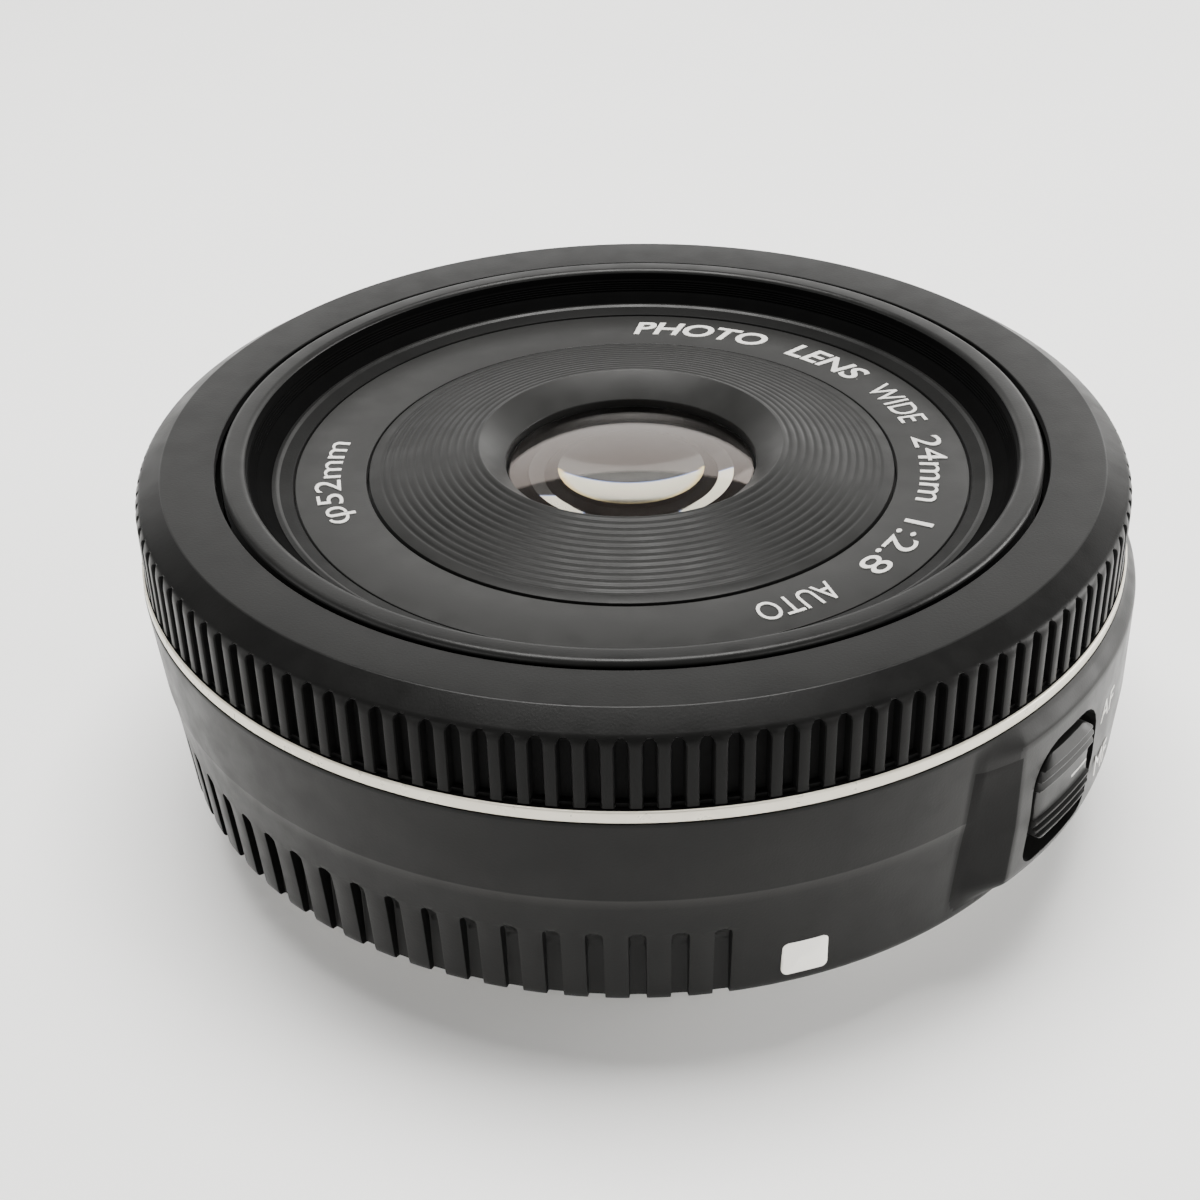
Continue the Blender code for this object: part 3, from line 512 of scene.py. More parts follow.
def casing_rows():
    """('out', height, flute width share, flute depth share, inset) up the wall, then the inside."""
    rows = [("out", CASING_FOOT, 1.0, 1.0, -0.14), ("out", CASING_FOOT + 0.1, 1.0, 1.0, -0.05),
            ("out", CASING_FOOT + 0.4, 1.0, 1.0, 0.0)]
    heights = [1.3 + 0.4 * step for step in range(9)]
    heights += [4.7 + 0.2 * step for step in range(7)]
    for height in heights:
        rows.append(("out", height, 1.0, ramp_depth(height), 0.0))
    for step in range(1, 6):
        angle = pi / 2 * step / 5.0
        height = FLUTE_TOP - FLUTE_CORNER + FLUTE_CORNER * sin(angle)
        width = 1.0 - FLUTE_CORNER / FLUTE_HALF * (1.0 - cos(angle))
        rows.append(("out", height, width, ramp_depth(height), 0.0))
    rows += [("out", FLUTE_TOP + 0.03, 0.4, 0.02, 0.0), ("out", FLUTE_TOP + 0.12, 0.5, 0.0, 0.0)]
    height = FLUTE_TOP + 0.35
    while height < CREASE - 0.3:
        rows.append(("out", height, 1.0, 0.0, 0.0))
        height += 0.3
    for offset in (-0.22, -0.14, -0.07, 0.0, 0.07, 0.14, 0.22):
        rows.append(("out", CREASE + offset, 1.0, 0.0, 0.0))
    height = CREASE + 0.5
    while height < CASING_TOP - 0.25:
        rows.append(("out", height, 1.0, 0.0, 0.0))
        height += 0.2
    rows += [("out", CASING_TOP - 0.15, 1.0, 0.0, 0.0), ("out", CASING_TOP - 0.04, 1.0, 0.0, -0.04),
             ("out", CASING_TOP, 1.0, 0.0, -0.15)]
    inside = ((CASING_BORE, CASING_TOP), (CASING_BORE, 3.4), (17.2, 3.4), (17.2, 1.9),
              (31.6, 1.9), (31.6, CASING_FOOT))
    return rows + [("in", radius, height) for radius, height in inside]


def ramp_depth(height):
    """The flute's floor comes out to meet the wall in a hollow curve at its top."""
    left = max(0.0, 1.0 - (FLUTE_TOP - height) / FLUTE_RAMP)
    return 1.0 - 0.86 * left * left


def casing_point(column, row):
    azimuth, offset, share = column
    if row[0] == "in":
        if offset is not None:
            azimuth += degrees(offset / FLUTE_RADIUS)
        return polar(row[1], azimuth, row[2])
    height, width, depth, inset = row[1:]
    if offset is not None:
        azimuth += degrees(offset * width / FLUTE_RADIUS)
    azimuth = (azimuth + 180.0) % 360.0 - 180.0
    wall = casing_radius(azimuth, height) + inset
    wall -= max(0.0, wall - FLUTE_FLOOR) * share * depth
    return polar(wall, azimuth, height)


casing = ring_grid("casing_shell", casing_columns(), casing_rows(), casing_point)


def rounded_outline(half_width, half_height, corner, low_corner=None, steps=6):
    """A rounded rectangle; its lower corners may have their own radius."""
    points = []
    for quarter in range(4):
        sign_x = 1 if quarter in (0, 3) else -1
        sign_y = 1 if quarter in (0, 1) else -1
        fillet = corner if quarter in (0, 1) else low_corner or corner
        for step in range(steps + 1):
            angle = pi / 2 * (quarter + step / steps)
            points.append((sign_x * (half_width - fillet) + fillet * cos(angle),
                           sign_y * (half_height - fillet) + fillet * sin(angle)))
    return points


def wrapped_prism(name, place, outline_at, levels):
    """A closed solid whose outline changes with its distance out from the cylinder."""
    points = [place(u, v, out) for out in levels for u, v in outline_at(out)]
    count = len(points) // len(levels)
    return solid(name, points, ends(len(levels), count) + skin(len(levels), count, round_trip=False))


POCKET_SPAN = (-45.3, -31.8)
POCKET_LOW, POCKET_HIGH, POCKET_FLOOR = 3.8, 13.1, 33.5
pocket_azimuth = sum(POCKET_SPAN) / 2
pocket_half = radians(POCKET_SPAN[1] - POCKET_SPAN[0]) / 2 * PAD_FACE
pocket_place = wrapped(pocket_azimuth, PAD_FACE, (POCKET_LOW + POCKET_HIGH) / 2)
pocket_tool = wrapped_prism(
    "pocket_tool", pocket_place,
    lambda out: rounded_outline(pocket_half, (POCKET_HIGH - POCKET_LOW) / 2, 3.0, 1.3),
    (POCKET_FLOOR - PAD_FACE, 3.0))
cut(casing, pocket_tool)


def sideways(face):
    """How much a face looks along the rim instead of outwards."""
    out = face.center.xy.normalized()
    return abs(face.normal.x * out.y - face.normal.y * out.x)


def azimuth_of(face):
    return degrees(atan2(face.center.y, face.center.x))


def on_pad(face, radius, height):
    """The pad's share at a face of the outer wall, and 0 on the inner faces."""
    return pad_share(azimuth_of(face), height) if radius > CASING_BORE + 0.3 else 0.0


def on_flank(face, radius, height):
    """Whether a face is on the slope that rises to the pad at its left."""
    return (0.04 < on_pad(face, radius, height) <= 0.97 and height < FLANK_TOP
            and azimuth_of(face) < PAD_LEFT + 0.2)


def in_pocket(face, radius, height):
    return (POCKET_SPAN[0] - 0.1 < azimuth_of(face) < POCKET_SPAN[1] + 0.1
            and POCKET_LOW - 0.1 < height < POCKET_HIGH + 0.1
            and POCKET_FLOOR - 0.3 < radius < PAD_FACE - 0.68)


shade(casing)
finish_piece(casing, CASING, "casing", "black_plastic", "rear_casing")
paint_zone(casing, SATIN, lambda face, radius, height: on_pad(face, radius, height) > 0.9)
# painted shade: the slope up to the pad takes the darker copy of the plastic
paint_zone(casing, SHADE_PLASTIC, on_flank)
# painted shade: the flutes' side walls take the darker matt black
paint_zone(casing, MATT, lambda face, radius, height: height < FLUTE_TOP + 0.1 and radius > FLUTE_FLOOR
           and sideways(face) > 0.7)
# painted shade: the switch pocket's floor and walls take the darker matt black
paint_zone(casing, MATT, in_pocket)

# ---------------------------------------------------------------- silver trim ring

trim_low, trim_high = foot("trim_ring") + 0.17, top("trim_ring") + 0.12
TRIM_REACH = reach("trim_ring")
trim = turned("trim_band", [(32.1, trim_high), (TRIM_REACH, trim_high, 0.14),
                            (TRIM_REACH, trim_low, 0.14), (32.1, trim_low)], steps=480)
finish_piece(trim, SILVER, "casing", "silver_trim", "trim_ring")
# painted shade: the trim's top face, under the ribs, takes the matt black in place of silver
paint_zone(trim, MATT, lambda face, radius, height: face.normal.z > 0.8 and radius < TRIM_REACH - 0.16)

# ---------------------------------------------------------------- ribbed focus ring

RING_TOP = top("focus_ring")
RIB_COUNT = 132
RIB_REACH = reach("focus_ring")
RIB_FOOT = top("trim_ring") + 0.16
GRIP_RADIUS = 34.0          # where the slots' width is measured
SLOT_HALF = 0.43
SLOT_HEIGHT = 4.7
BORE, BORE_TOP, BORE_FOOT = 30.7, 21.9, 14.0
SLOT_FLOOR = RIB_REACH - 0.65
LEDGE = 0.3                 # how far the ledge under the slots lies behind the ribs
FACE_EDGE = 32.2            # where the bevel meets the face
FACE_BORE = 28.57
RIM = 0.95                  # fillet between the ribs and the bevel


def rib_columns():
    shares = ((-1.3, 0.0), (-1.12, 0.04), (-1.0, 0.22), (-0.9, 0.88), (-0.76, 1.0), (0.0, 1.0))
    shares += tuple((-across, share) for across, share in reversed(shares[:-1]))
    pitch = 360.0 / RIB_COUNT
    return [(pitch * (number + 0.5), across, share)
            for number in range(RIB_COUNT) for across, share in shares]


def rib_rows():
    """(radius, height, slot width share, slot depth share, ledge share), outside then inside."""
    bevel_low, bevel_high = RING_TOP - 1.4, RING_TOP - 0.25
    rows = [(RIB_REACH - 0.12, RIB_FOOT, 1.0, 1.0, 1.0), (RIB_REACH, RIB_FOOT + 0.08, 1.0, 1.0, 1.0),
            (RIB_REACH, RIB_FOOT + 0.26, 1.0, 1.0, 1.0), (RIB_REACH, RIB_FOOT + 0.3, 1.0, 1.0, 0.0)]
    rows += [(RIB_REACH, RIB_FOOT + 0.5 + 0.7 * step, 1.0, 1.0, 0.0) for step in range(5)]
    outline = filleted([(RIB_REACH, RIB_FOOT), (RIB_REACH, bevel_low, RIM),
                        (FACE_EDGE, bevel_high, 0.25), (FACE_BORE, RING_TOP - 0.3, 0.1),
                        (FACE_BORE, BORE_TOP)], 10)
    # width and depth of the slots as they run out in a point over the rim's fillet
    shares = ((1.0, 1.0), (1.0, 1.0), (0.97, 0.98), (0.92, 0.92), (0.84, 0.8), (0.72, 0.6),
              (0.56, 0.35), (0.38, 0.12), (0.4, 0.0), (0.6, 0.0), (0.8, 0.0))
    for (outer, height), (width, depth) in zip(outline[1:12], shares):
        rows.append((outer, height, width, depth, 0.0))
    rows += [(outer, height, 1.0, 0.0, 0.0) for outer, height in outline[12:]]
    inside = ((BORE, BORE_TOP), (BORE, BORE_FOOT), (31.6, BORE_FOOT), (31.6, RIB_FOOT))
    return rows + [(radius, height, 1.0, 0.0, 0.0) for radius, height in inside]


def rib_point(column, row):
    centre, across, share = column
    outer, height, width, depth, ledge = row
    azimuth = centre + degrees(across * SLOT_HALF * width / GRIP_RADIUS)
    floor = SLOT_FLOOR + (RIB_REACH - LEDGE - SLOT_FLOOR) * ledge
    return polar(outer - max(0.0, outer - floor) * share * depth, azimuth, height)


grip = ring_grid("ribbed_grip", rib_columns(), rib_rows(), rib_point)
finish_piece(grip, RIB, "manual_ring", "black_plastic", "focus_ring")
# painted shade: the slots between the ribs take the matt black
paint_zone(grip, MATT, lambda face, radius, height: RIB_FOOT + 0.32 < height < RIB_FOOT + SLOT_HEIGHT
           and 33.0 < radius < RIB_REACH - 0.12 and face.normal.z < 0.5)
paint_zone(grip, FACE, lambda face, radius, height: height > 22.2 and radius < FACE_EDGE + 0.2)

# ---------------------------------------------------------------- focusing barrel and front

BARREL_TOP = top("focusing_barrel")
BARREL_REACH = reach("focusing_barrel")


def threads(outer, high, inner, low, count, depth):
    """Screw-thread ridges down a sloping wall, as profile corners."""
    corners = []
    for step in range(count):
        for share, dip in ((0.0, 0.0), (0.5, depth)):
            along = (step + share) / count
            corners.append((outer + (inner - outer) * along + dip,
                            high + (low - high) * along - dip * 0.5))
    return corners


BARREL_FOOT = 6.9
BARREL_BORE = 26.9
DECK_HIGH, DECK_LOW, DECK_BORE = 19.2, 17.6, 12.8
LIP = 28.15                 # the barrel's lip reaches out over the drive ring
MOUTH = 26.5                # the lip's inner edge, above the threads
TROUGH = 24.8               # where the threaded wall meets the step round the name ring
STEP_TOP, STEP_FOOT = 24.4, 23.5

barrel = turned("barrel_shell", [
    (BARREL_REACH, BARREL_FOOT), (BARREL_REACH, 21.0), (LIP, 21.3), (LIP, BARREL_TOP, 0.42),
    (MOUTH + 0.05, BARREL_TOP, 0.5), (MOUTH - 0.1, BARREL_TOP - 0.75),
    *threads(MOUTH - 0.2, BARREL_TOP - 0.85, 25.8, BARREL_TOP - 1.6, 5, 0.09),
    (25.6, BARREL_TOP - 1.75, 0.1), (TROUGH + 0.15, BARREL_TOP - 2.2, 0.1),
    (TROUGH - 0.2, BARREL_TOP - 2.1, 0.14), (STEP_TOP, BARREL_TOP - 2.24, 0.08),
    (STEP_FOOT, BARREL_TOP - 2.5, 0.1), (STEP_FOOT - 0.05, DECK_HIGH), (DECK_BORE, DECK_HIGH),
    (DECK_BORE, DECK_LOW), (BARREL_BORE, DECK_LOW), (BARREL_BORE, BARREL_FOOT)],
    steps=420, fillet_steps=6)
finish_piece(barrel, SATIN, "optical_group", "black_plastic", "focusing_barrel")
# the threaded wall is black plastic; the near black on it is painted shade
paint_zone(barrel, SHADE_BLACK, lambda face, radius, height: TROUGH < radius < MOUTH and height > DECK_HIGH + 0.8)
# painted shade: the step round the name ring takes the darker copy of the plastic
paint_zone(barrel, SHADE_PLASTIC, lambda face, radius, height: STEP_FOOT - 0.1 < radius < STEP_TOP - 0.02
           and height > DECK_HIGH + 0.8)
# painted shade: the barrel's outer wall in the gap under the lip
paint_zone(barrel, SHADE_BLACK, lambda face, radius, height: radius > LIP - 0.02 and height < BARREL_TOP - 0.4)

NAME_TOP, NAME_FOOT = top("name_ring"), foot("name_ring")
NAME_BORE, NAME_EDGE = 18.45, 23.35
name_ring = turned("name_plate", [
    (NAME_BORE, NAME_TOP, 0.06), (NAME_BORE, NAME_FOOT), (NAME_EDGE, NAME_FOOT),
    (NAME_EDGE, NAME_TOP, 0.06)], steps=360)
finish_piece(name_ring, NAME, "optical_group", "name_ring_grey", "name_ring")

BAFFLE_TOP = top("front_baffle")
GROOVE_COUNT = 12
WAVE_STEPS = 8
WAVE_DEPTH = 0.075
CREST = (10.55, BAFFLE_TOP + 0.22)  # radius and height where the cone meets the funnel
CONE_FOOT = (17.66, 20.40)
THROAT = (8.76, 20.4)       # the funnel's inner edge
BAFFLE_BACK = 19.5


def baffle_profile():
    """A plain outer rim, concentric waves up a shallow cone, then a smooth funnel."""
    rim = NAME_BORE - 0.2
    corners = [(rim, BAFFLE_BACK), (rim, 20.27, 0.05), (*CONE_FOOT, 0.05)]
    start, end = CONE_FOOT[0] - 0.06, CREST[0] + 0.12
    slope = (CREST[1] - CONE_FOOT[1]) / (CONE_FOOT[0] - CREST[0])
    steps = GROOVE_COUNT * WAVE_STEPS
    for step in range(steps):
        radius = start + (end - start) * step / steps
        wave = 0.5 - 0.5 * cos(2 * pi * step / WAVE_STEPS)
        cone = CONE_FOOT[1] + (CONE_FOOT[0] - radius) * slope
        corners.append((radius, cone - WAVE_DEPTH * wave ** 2))
    return corners + [(*CREST, 0.1), (*THROAT, 0.12), (THROAT[0] - 0.02, BAFFLE_BACK + 0.2),
                      (10.0, BAFFLE_BACK + 0.2), (13.2, BAFFLE_BACK)]


baffle = turned("front_baffle_rings", baffle_profile(), steps=360, fillet_steps=3)
finish_piece(baffle, BAFFLE, "optical_group", "name_ring_grey", "front_baffle")
# painted highlight: the funnel takes the lighter name-ring grey so it looks brighter
paint_zone(baffle, NAME, lambda face, radius, height: THROAT[0] + 0.04 < radius < CREST[0] + 0.05
           and height > THROAT[1])

# ---------------------------------------------------------------- lettering

def flat_text(words, slant=0.0, weight=0.0):
    """Outline text as a thin flat mesh, before it is bent to its place."""
    curve = bpy.data.curves.new("words", "FONT")
    curve.body = words
    curve.shear = slant
    curve.offset = weight
    curve.resolution_u = 6
    curve.fill_mode = "BOTH"
    curve.extrude = 0.02
    holder = bpy.data.objects.new("words", curve)
    bpy.context.scene.collection.objects.link(holder)
    mesh = bpy.data.meshes.new_from_object(
        holder.evaluated_get(bpy.context.evaluated_depsgraph_get()))
    bpy.data.objects.remove(holder, do_unlink=True)
    return mesh


def lettering(name, words, place, width, height, thickness, body, slant=0.0, weight=0.0):
    """Raised white letters: place(right, up, out) takes millimetres from the words' middle."""
    mesh = flat_text(words, slant, weight)
    low = [min(v.co[axis] for v in mesh.vertices) for axis in range(3)]
    high = [max(v.co[axis] for v in mesh.vertices) for axis in range(3)]
    for vertex in mesh.vertices:
        across, up, out = ((vertex.co[axis] - low[axis]) / (high[axis] - low[axis])
                           for axis in range(3))
        x, y, z = place((across - 0.5) * width, (up - 0.5) * height, out * thickness - 0.02)
        vertex.co = (x * MM, y * MM, z * MM)
    piece = bpy.data.objects.new(name, mesh)
    bpy.context.scene.collection.objects.link(piece)
    finish_piece(piece, INK, body, "white_mark")


def on_name_ring(start, end, inner, outer):
    """Letters that read clockwise, tops outwards, from azimuth start to end."""
    middle, span = (start + end) / 2, start - end
    radius = (inner + outer) / 2

    def place(right, up, out):
        return polar(radius + up, middle - right * span, NAME_TOP + out)
    return place, 1.0, outer - inner


# name, words, azimuths of the start and end, inner and outer radius, slant, weight
WORDS = (("word_photo", "PHOTO", 89.0, 60.0, 20.0, 22.1, 0.2, 0.022),
         ("word_lens", "LENS", 54.0, 35.0, 20.0, 22.1, 0.2, 0.018),
         ("word_wide", "WIDE", 30.0, 13.7, 20.0, 22.0, 0.0, 0.0),
         ("focal_length", "24mm", 7.7, -17.6, 20.0, 22.0, 0.0, 0.0),
         ("aperture", "1:2.8", -25.0, -44.6, 20.0, 22.0, 0.0, 0.0),
         ("word_auto", "AUTO", -52.7, -68.5, 20.0, 22.0, 0.0, 0.0),
         ("filter_size", "φ52mm", -157.8, -189.0, 19.7, 22.0, 0.0, 0.0))
for name, words, start, end, inner, outer, slant, weight in WORDS:
    place, width, height = on_name_ring(start, end, inner, outer)
    lettering(name, words, place, width, height, 0.07, "optical_group", slant, weight)

# ---------------------------------------------------------------- index mark and switch

def cushion(name, place, half_width, half_height, corner, rise, depth, hip=0.0):
    """A rounded tile with softened edges, flat or hipped like a low roof."""
    steps = ((0.0, -depth), (0.0, rise - 0.12), (0.03, rise - 0.05), (0.1, rise), (0.16, rise + 0.01))
    points = []
    for inset, out in steps:
        outline = rounded_outline(half_width - inset, half_height - inset,
                                  max(0.03, corner - inset))
        points += [place(u, v, out) for u, v in outline]
    count = len(points) // len(steps)
    back, front = ends(len(steps), count)
    faces = [back] + skin(len(steps), count, round_trip=False)
    if not hip:
        return solid(name, points, faces + [front], 40.0)
    last = front[0]
    left, right = len(points), len(points) + 1
    ridge = half_width * 0.28
    points += [place(-ridge, half_height * 0.2, rise + hip), place(ridge, -half_height * 0.2, rise + hip)]
    quarter = count // 4
    for index in range(count):
        a, b = last + index, last + (index + 1) % count
        near = right if index // quarter in (0, 3) else left
        faces.append((a, b, near))
    faces.append((last + quarter - 1, last + quarter, left, right))
    faces.append((last + 3 * quarter - 1, last + 3 * quarter, right, left))
    return solid(name, points, faces, 6.0)


INDEX_LOW, INDEX_HIGH = foot("index_mark"), top("index_mark")
INDEX_AZIMUTH, INDEX_RADIUS = -71.95, 33.05
INDEX_HALF_WIDTH = 1.53
index_place = wrapped(INDEX_AZIMUTH, INDEX_RADIUS, (INDEX_LOW + INDEX_HIGH) / 2)
index = cushion("index_tile", index_place, INDEX_HALF_WIDTH, (INDEX_HIGH - INDEX_LOW) / 2,
                corner=0.45, rise=0.12, depth=0.5, hip=0.24)
finish_piece(index, WHITE, "casing", "white_mark", "index_mark")

KNOB_LOW, KNOB_HIGH = foot("switch_knob"), top("switch_knob")
knob_middle = (KNOB_LOW + KNOB_HIGH) / 2
knob_half = (KNOB_HIGH - KNOB_LOW) / 2
KNOB_SPAN = (-44.7, -33.4)
KNOB_BASE, KNOB_FACE = 33.7, 35.14
KNOB_CORNER = 2.1
TOOTH = 0.7                 # pitch of the saw teeth
knob_width = radians(KNOB_SPAN[1] - KNOB_SPAN[0]) / 2 * (KNOB_FACE + 0.16)
knob_place = wrapped(sum(KNOB_SPAN) / 2, KNOB_FACE, knob_middle)


def knob_lines():
    """(height, out) across the knob: three saw teeth, a smooth waist, three saw teeth."""
    lines = [(-knob_half, -0.5), (-knob_half + 0.1, -0.1)]
    for number in range(3):
        low = -knob_half + 0.3 + TOOTH * number
        lines += [(low, 0.0), (low + TOOTH * 0.72, 0.26), (low + TOOTH * 0.86, 0.24),
                  (low + TOOTH - 0.02, 0.0)]
    lines += [(-knob_half + 2.5, 0.0), (0.0, -0.05)]
    mirrored = [(-height, out) for height, out in lines if height < 0.0]
    return lines + mirrored[::-1]


def knob_row(height):
    """Half width of the knob at a height, with rounded corners."""
    over = abs(height) - (knob_half - KNOB_CORNER)
    if over <= 0.0:
        return knob_width
    return knob_width - KNOB_CORNER + sqrt(max(0.0, KNOB_CORNER ** 2 - over ** 2))


def build_knob():
    """The slider's cap: one row of points for each line, rounded off at both ends."""
    shares = (-1.0, -0.985, -0.94, -0.6, -0.2, 0.2, 0.6, 0.94, 0.985, 1.0)
    drops = (0.22, 0.06, 0.0, 0.0, 0.0, 0.0, 0.0, 0.0, 0.06, 0.22)
    rows = knob_lines()
    points = []
    for height, out in rows:
        half = max(0.3, knob_row(height))
        points += [knob_place(share * half, height, out - drop) for share, drop in zip(shares, drops)]
        points += [knob_place(share * half, height, KNOB_BASE - KNOB_FACE) for share in (1.0, -1.0)]
    ring = len(shares) + 2
    faces = skin(len(rows), ring, round_trip=False) + ends(len(rows), ring)
    return solid("slider_cap", points, faces, 30.0)


knob = finish_piece(build_knob(), SATIN, "mode_switch", "black_plastic", "switch_knob")
LINE_AZIMUTH, DASH_AZIMUTH, LABEL_AZIMUTH = -35.6, -30.2, -28.2
index_line = cushion("slider_line", wrapped(LINE_AZIMUTH, KNOB_FACE, knob_middle - 0.3),
                     1.15, 0.14, corner=0.1, rise=0.0, depth=0.3)
finish_piece(index_line, INK, "mode_switch", "white_mark")
dash = cushion("label_dash", wrapped(DASH_AZIMUTH, PAD_FACE, knob_middle + 0.15),
               0.9, 0.13, corner=0.08, rise=-0.02, depth=0.3)
finish_piece(dash, INK, "casing", "white_mark")
for name, words, height in (("label_af", "AF", 10.7), ("label_mf", "MF", 6.4)):
    lettering(name, words, wrapped(LABEL_AZIMUTH, PAD_FACE, height), 2.5, 1.6, 0.04, "casing")

# ---------------------------------------------------------------- front glass

GLASS_TOP = top("lens_1") + 0.22
GLASS_CURVE = 46.0          # radius of curvature of the front glass
GLASS_EDGE = 8.6
GLASS_SHELL = 0.25


def dome(apex, curve, edge, steps=14):
    """Profile of a spherical face that bulges forward, from the axis outwards."""
    return [(edge * step / steps, apex - curve + sqrt(curve * curve - (edge * step / steps) ** 2))
            for step in range(steps + 1)]


front_glass = turned("front_glass", dome(GLASS_TOP, GLASS_CURVE, GLASS_EDGE)
                     + dome(GLASS_TOP - GLASS_SHELL, GLASS_CURVE, GLASS_EDGE)[::-1],
                     steps=240, sharp=50.0, closed=False)
finish_piece(front_glass, FRONT_GLASS, "optical_group", "glass", "lens_1")

# the second element: a hollow bowl, a groove and an outer bevel with painted reflections, by radius and
# height
BOWL = 5.1
BOWL_FLOOR, BOWL_RISE = 19.0, 0.023
BEVEL = (6.1, 7.15)
SECOND_REACH, SECOND_SEAT = 8.6, 17.4
STEM_REACH, STEM_FOOT = 6.2, 15.2
YELLOW_FRINGE = (0.95, 0.76, 0.36)


def glint(name, mask_of, painted_front_reflection=0.0, fringe=False):
    """Painted reflection: dark glass that gleams like a mirror where mask_of says, with tinted edges, and
    a painted gradient on its dark part from the near side to the far side.
    """
    paint = Paint(name)
    share = mask_of(paint)
    shade_of = paint.span(paint.along("Y"), painted_front_reflection, 0.012, -1.2, 3.2)
    dim = paint.nodes.new("ShaderNodeCombineColor")
    for channel in ("Red", "Green", "Blue"):
        paint.links.new(shade_of, dim.inputs[channel])
    bright = paint.ramp(share, (0.0, (0.01, 0.01, 0.015)), (0.18, (0.03, 0.03, 0.05)),
                        (0.32, (0.35, 0.45, 0.80)), (0.5, (0.98, 0.95, 0.86)), (1.0, (1.0, 0.95, 0.80)))
    if fringe:
        rim = paint.span(paint.radius(), 0.0, 1.0, BOWL - 0.55, BOWL - 0.1)
        bright = paint.blend(rim, bright, YELLOW_FRINGE)
    lit = paint.math("GREATER_THAN", share, 0.02)
    paint.link(paint.blend(lit, dim.outputs["Color"], bright), "Base Color")
    paint.link(paint.span(paint.noise(3.0, 3.0), 0.05, 0.12), "Roughness")
    paint.set(Metallic=1.0)
    return paint.material


def near_crescent(paint):
    """Where the bowl's painted reflection lies: a share that rises towards the near rim, below a shallow
    smile-shaped line.
    """
    x, y = paint.along("X"), paint.along("Y")
    line = paint.math("SUBTRACT", paint.math("MULTIPLY", paint.math("MULTIPLY", x, x), 0.036), 1.0)
    return paint.span(paint.math("SUBTRACT", line, y), 0.0, 1.0, 0.0, 0.9)


def side_streaks(paint):
    """Where the bevel's painted reflection lies: a share that rises towards the near left and right, and
    is 0 in the middle.
    """
    x, y = paint.along("X"), paint.along("Y")
    line = paint.math("SUBTRACT", paint.math("MULTIPLY", x, 0.26), 1.5)
    below = paint.span(paint.math("SUBTRACT", line, y), 0.0, 1.0, 0.0, 0.8)
    outside = paint.span(paint.math("ABSOLUTE", x), 0.0, 1.0, 3.0, 3.8)
    return paint.math("MULTIPLY", below, outside)


bowl = [(BOWL * step / 12, BOWL_FLOOR + BOWL_RISE * (BOWL * step / 12) ** 2) for step in range(13)]
second = turned("second_element", bowl + [
    (BOWL + 0.15, BOWL_FLOOR + 0.3), (BEVEL[0], BOWL_FLOOR), (BEVEL[0], BOWL_FLOOR + 0.18),
    (BEVEL[1], BOWL_FLOOR + 0.36), (BEVEL[1] + 0.15, BOWL_FLOOR + 0.1),
    (SECOND_REACH, BOWL_FLOOR - 0.4), (SECOND_REACH, SECOND_SEAT), (STEM_REACH, SECOND_SEAT),
    (STEM_REACH, STEM_FOOT), (0.0, STEM_FOOT)], steps=240, sharp=25.0, closed=False)
# the glass element is drawn as opaque matt black: painted shade for the dark inside of the lens
finish_piece(second, MATT, "optical_group", "glass", "lens_2")
# painted reflections: a crescent on the bowl's near side and streaks on the bevel's near left and right
paint_zone(second, glint("bowl_glint", near_crescent, 0.12, fringe=True),
           lambda face, radius, height: height > SECOND_SEAT + 0.6 and radius < BOWL)
paint_zone(second, glint("bevel_glint", side_streaks),
           lambda face, radius, height: height > SECOND_SEAT + 0.6 and BEVEL[0] < radius < BEVEL[1])

RETAINER_TOP, RETAINER_FOOT = top("front_retainer"), foot("front_retainer")
retainer = turned("glass_retainer", [(8.45, RETAINER_FOOT), (8.7, RETAINER_FOOT),
                                     (8.72, RETAINER_TOP), (8.5, RETAINER_TOP)], steps=240)
finish_piece(retainer, MATT, "optical_group", "matt_black", "front_retainer")

# ---------------------------------------------------------------- bayonet mount and rear

FLANGE_REACH, FLANGE_HIGH, FLANGE_FACE = reach("mount_ring"), top("mount_ring"), 0.0
TAIL_OUTER, TAIL_BORE, TAIL_END = 25.1, 23.3, foot("mount_ring")
LUG_AZIMUTHS, LUG_HALF_SPAN, LUG_REACH = (18.0, 138.0, 258.0), 26.0, 26.9
LUG_LOW, LUG_HIGH, LUG_CHAMFER = -4.3, -2.9, 0.25
SCREW_AZIMUTHS, SCREW_CIRCLE = (22.0, 112.0, 202.0, 292.0), 28.3
SINK = ((2.05, -0.4), (1.62, 0.02), (1.05, 0.65), (0.9, 0.8), (0.9, 2.4))   # radius, height
SCREW = ((1.35, 0.17), (1.5, 0.24), (0.76, 0.95), (0.76, 3.1))
RECESS_HALF_LENGTH, RECESS_HALF_WIDTH, RECESS_FLOOR = 0.62, 0.16, 0.6


def lug(azimuth):
    """One bayonet tab: a chamfered arc that stands out from the tail."""
    root, edge = TAIL_OUTER - 0.5, LUG_REACH - LUG_CHAMFER
    outline = [(root, LUG_LOW), (edge, LUG_LOW), (LUG_REACH, LUG_LOW + LUG_CHAMFER),
               (LUG_REACH, LUG_HIGH - LUG_CHAMFER), (edge, LUG_HIGH), (root, LUG_HIGH)]
    count, steps = len(outline), 52
    points = []
    for step in range(steps + 1):
        angle = azimuth - LUG_HALF_SPAN + 2 * LUG_HALF_SPAN * step / steps
        points += [polar(r, angle, z) for r, z in outline]
    faces = ends(steps + 1, count) + skin(steps + 1, count, round_trip=False)
    return solid("lug", points, faces)


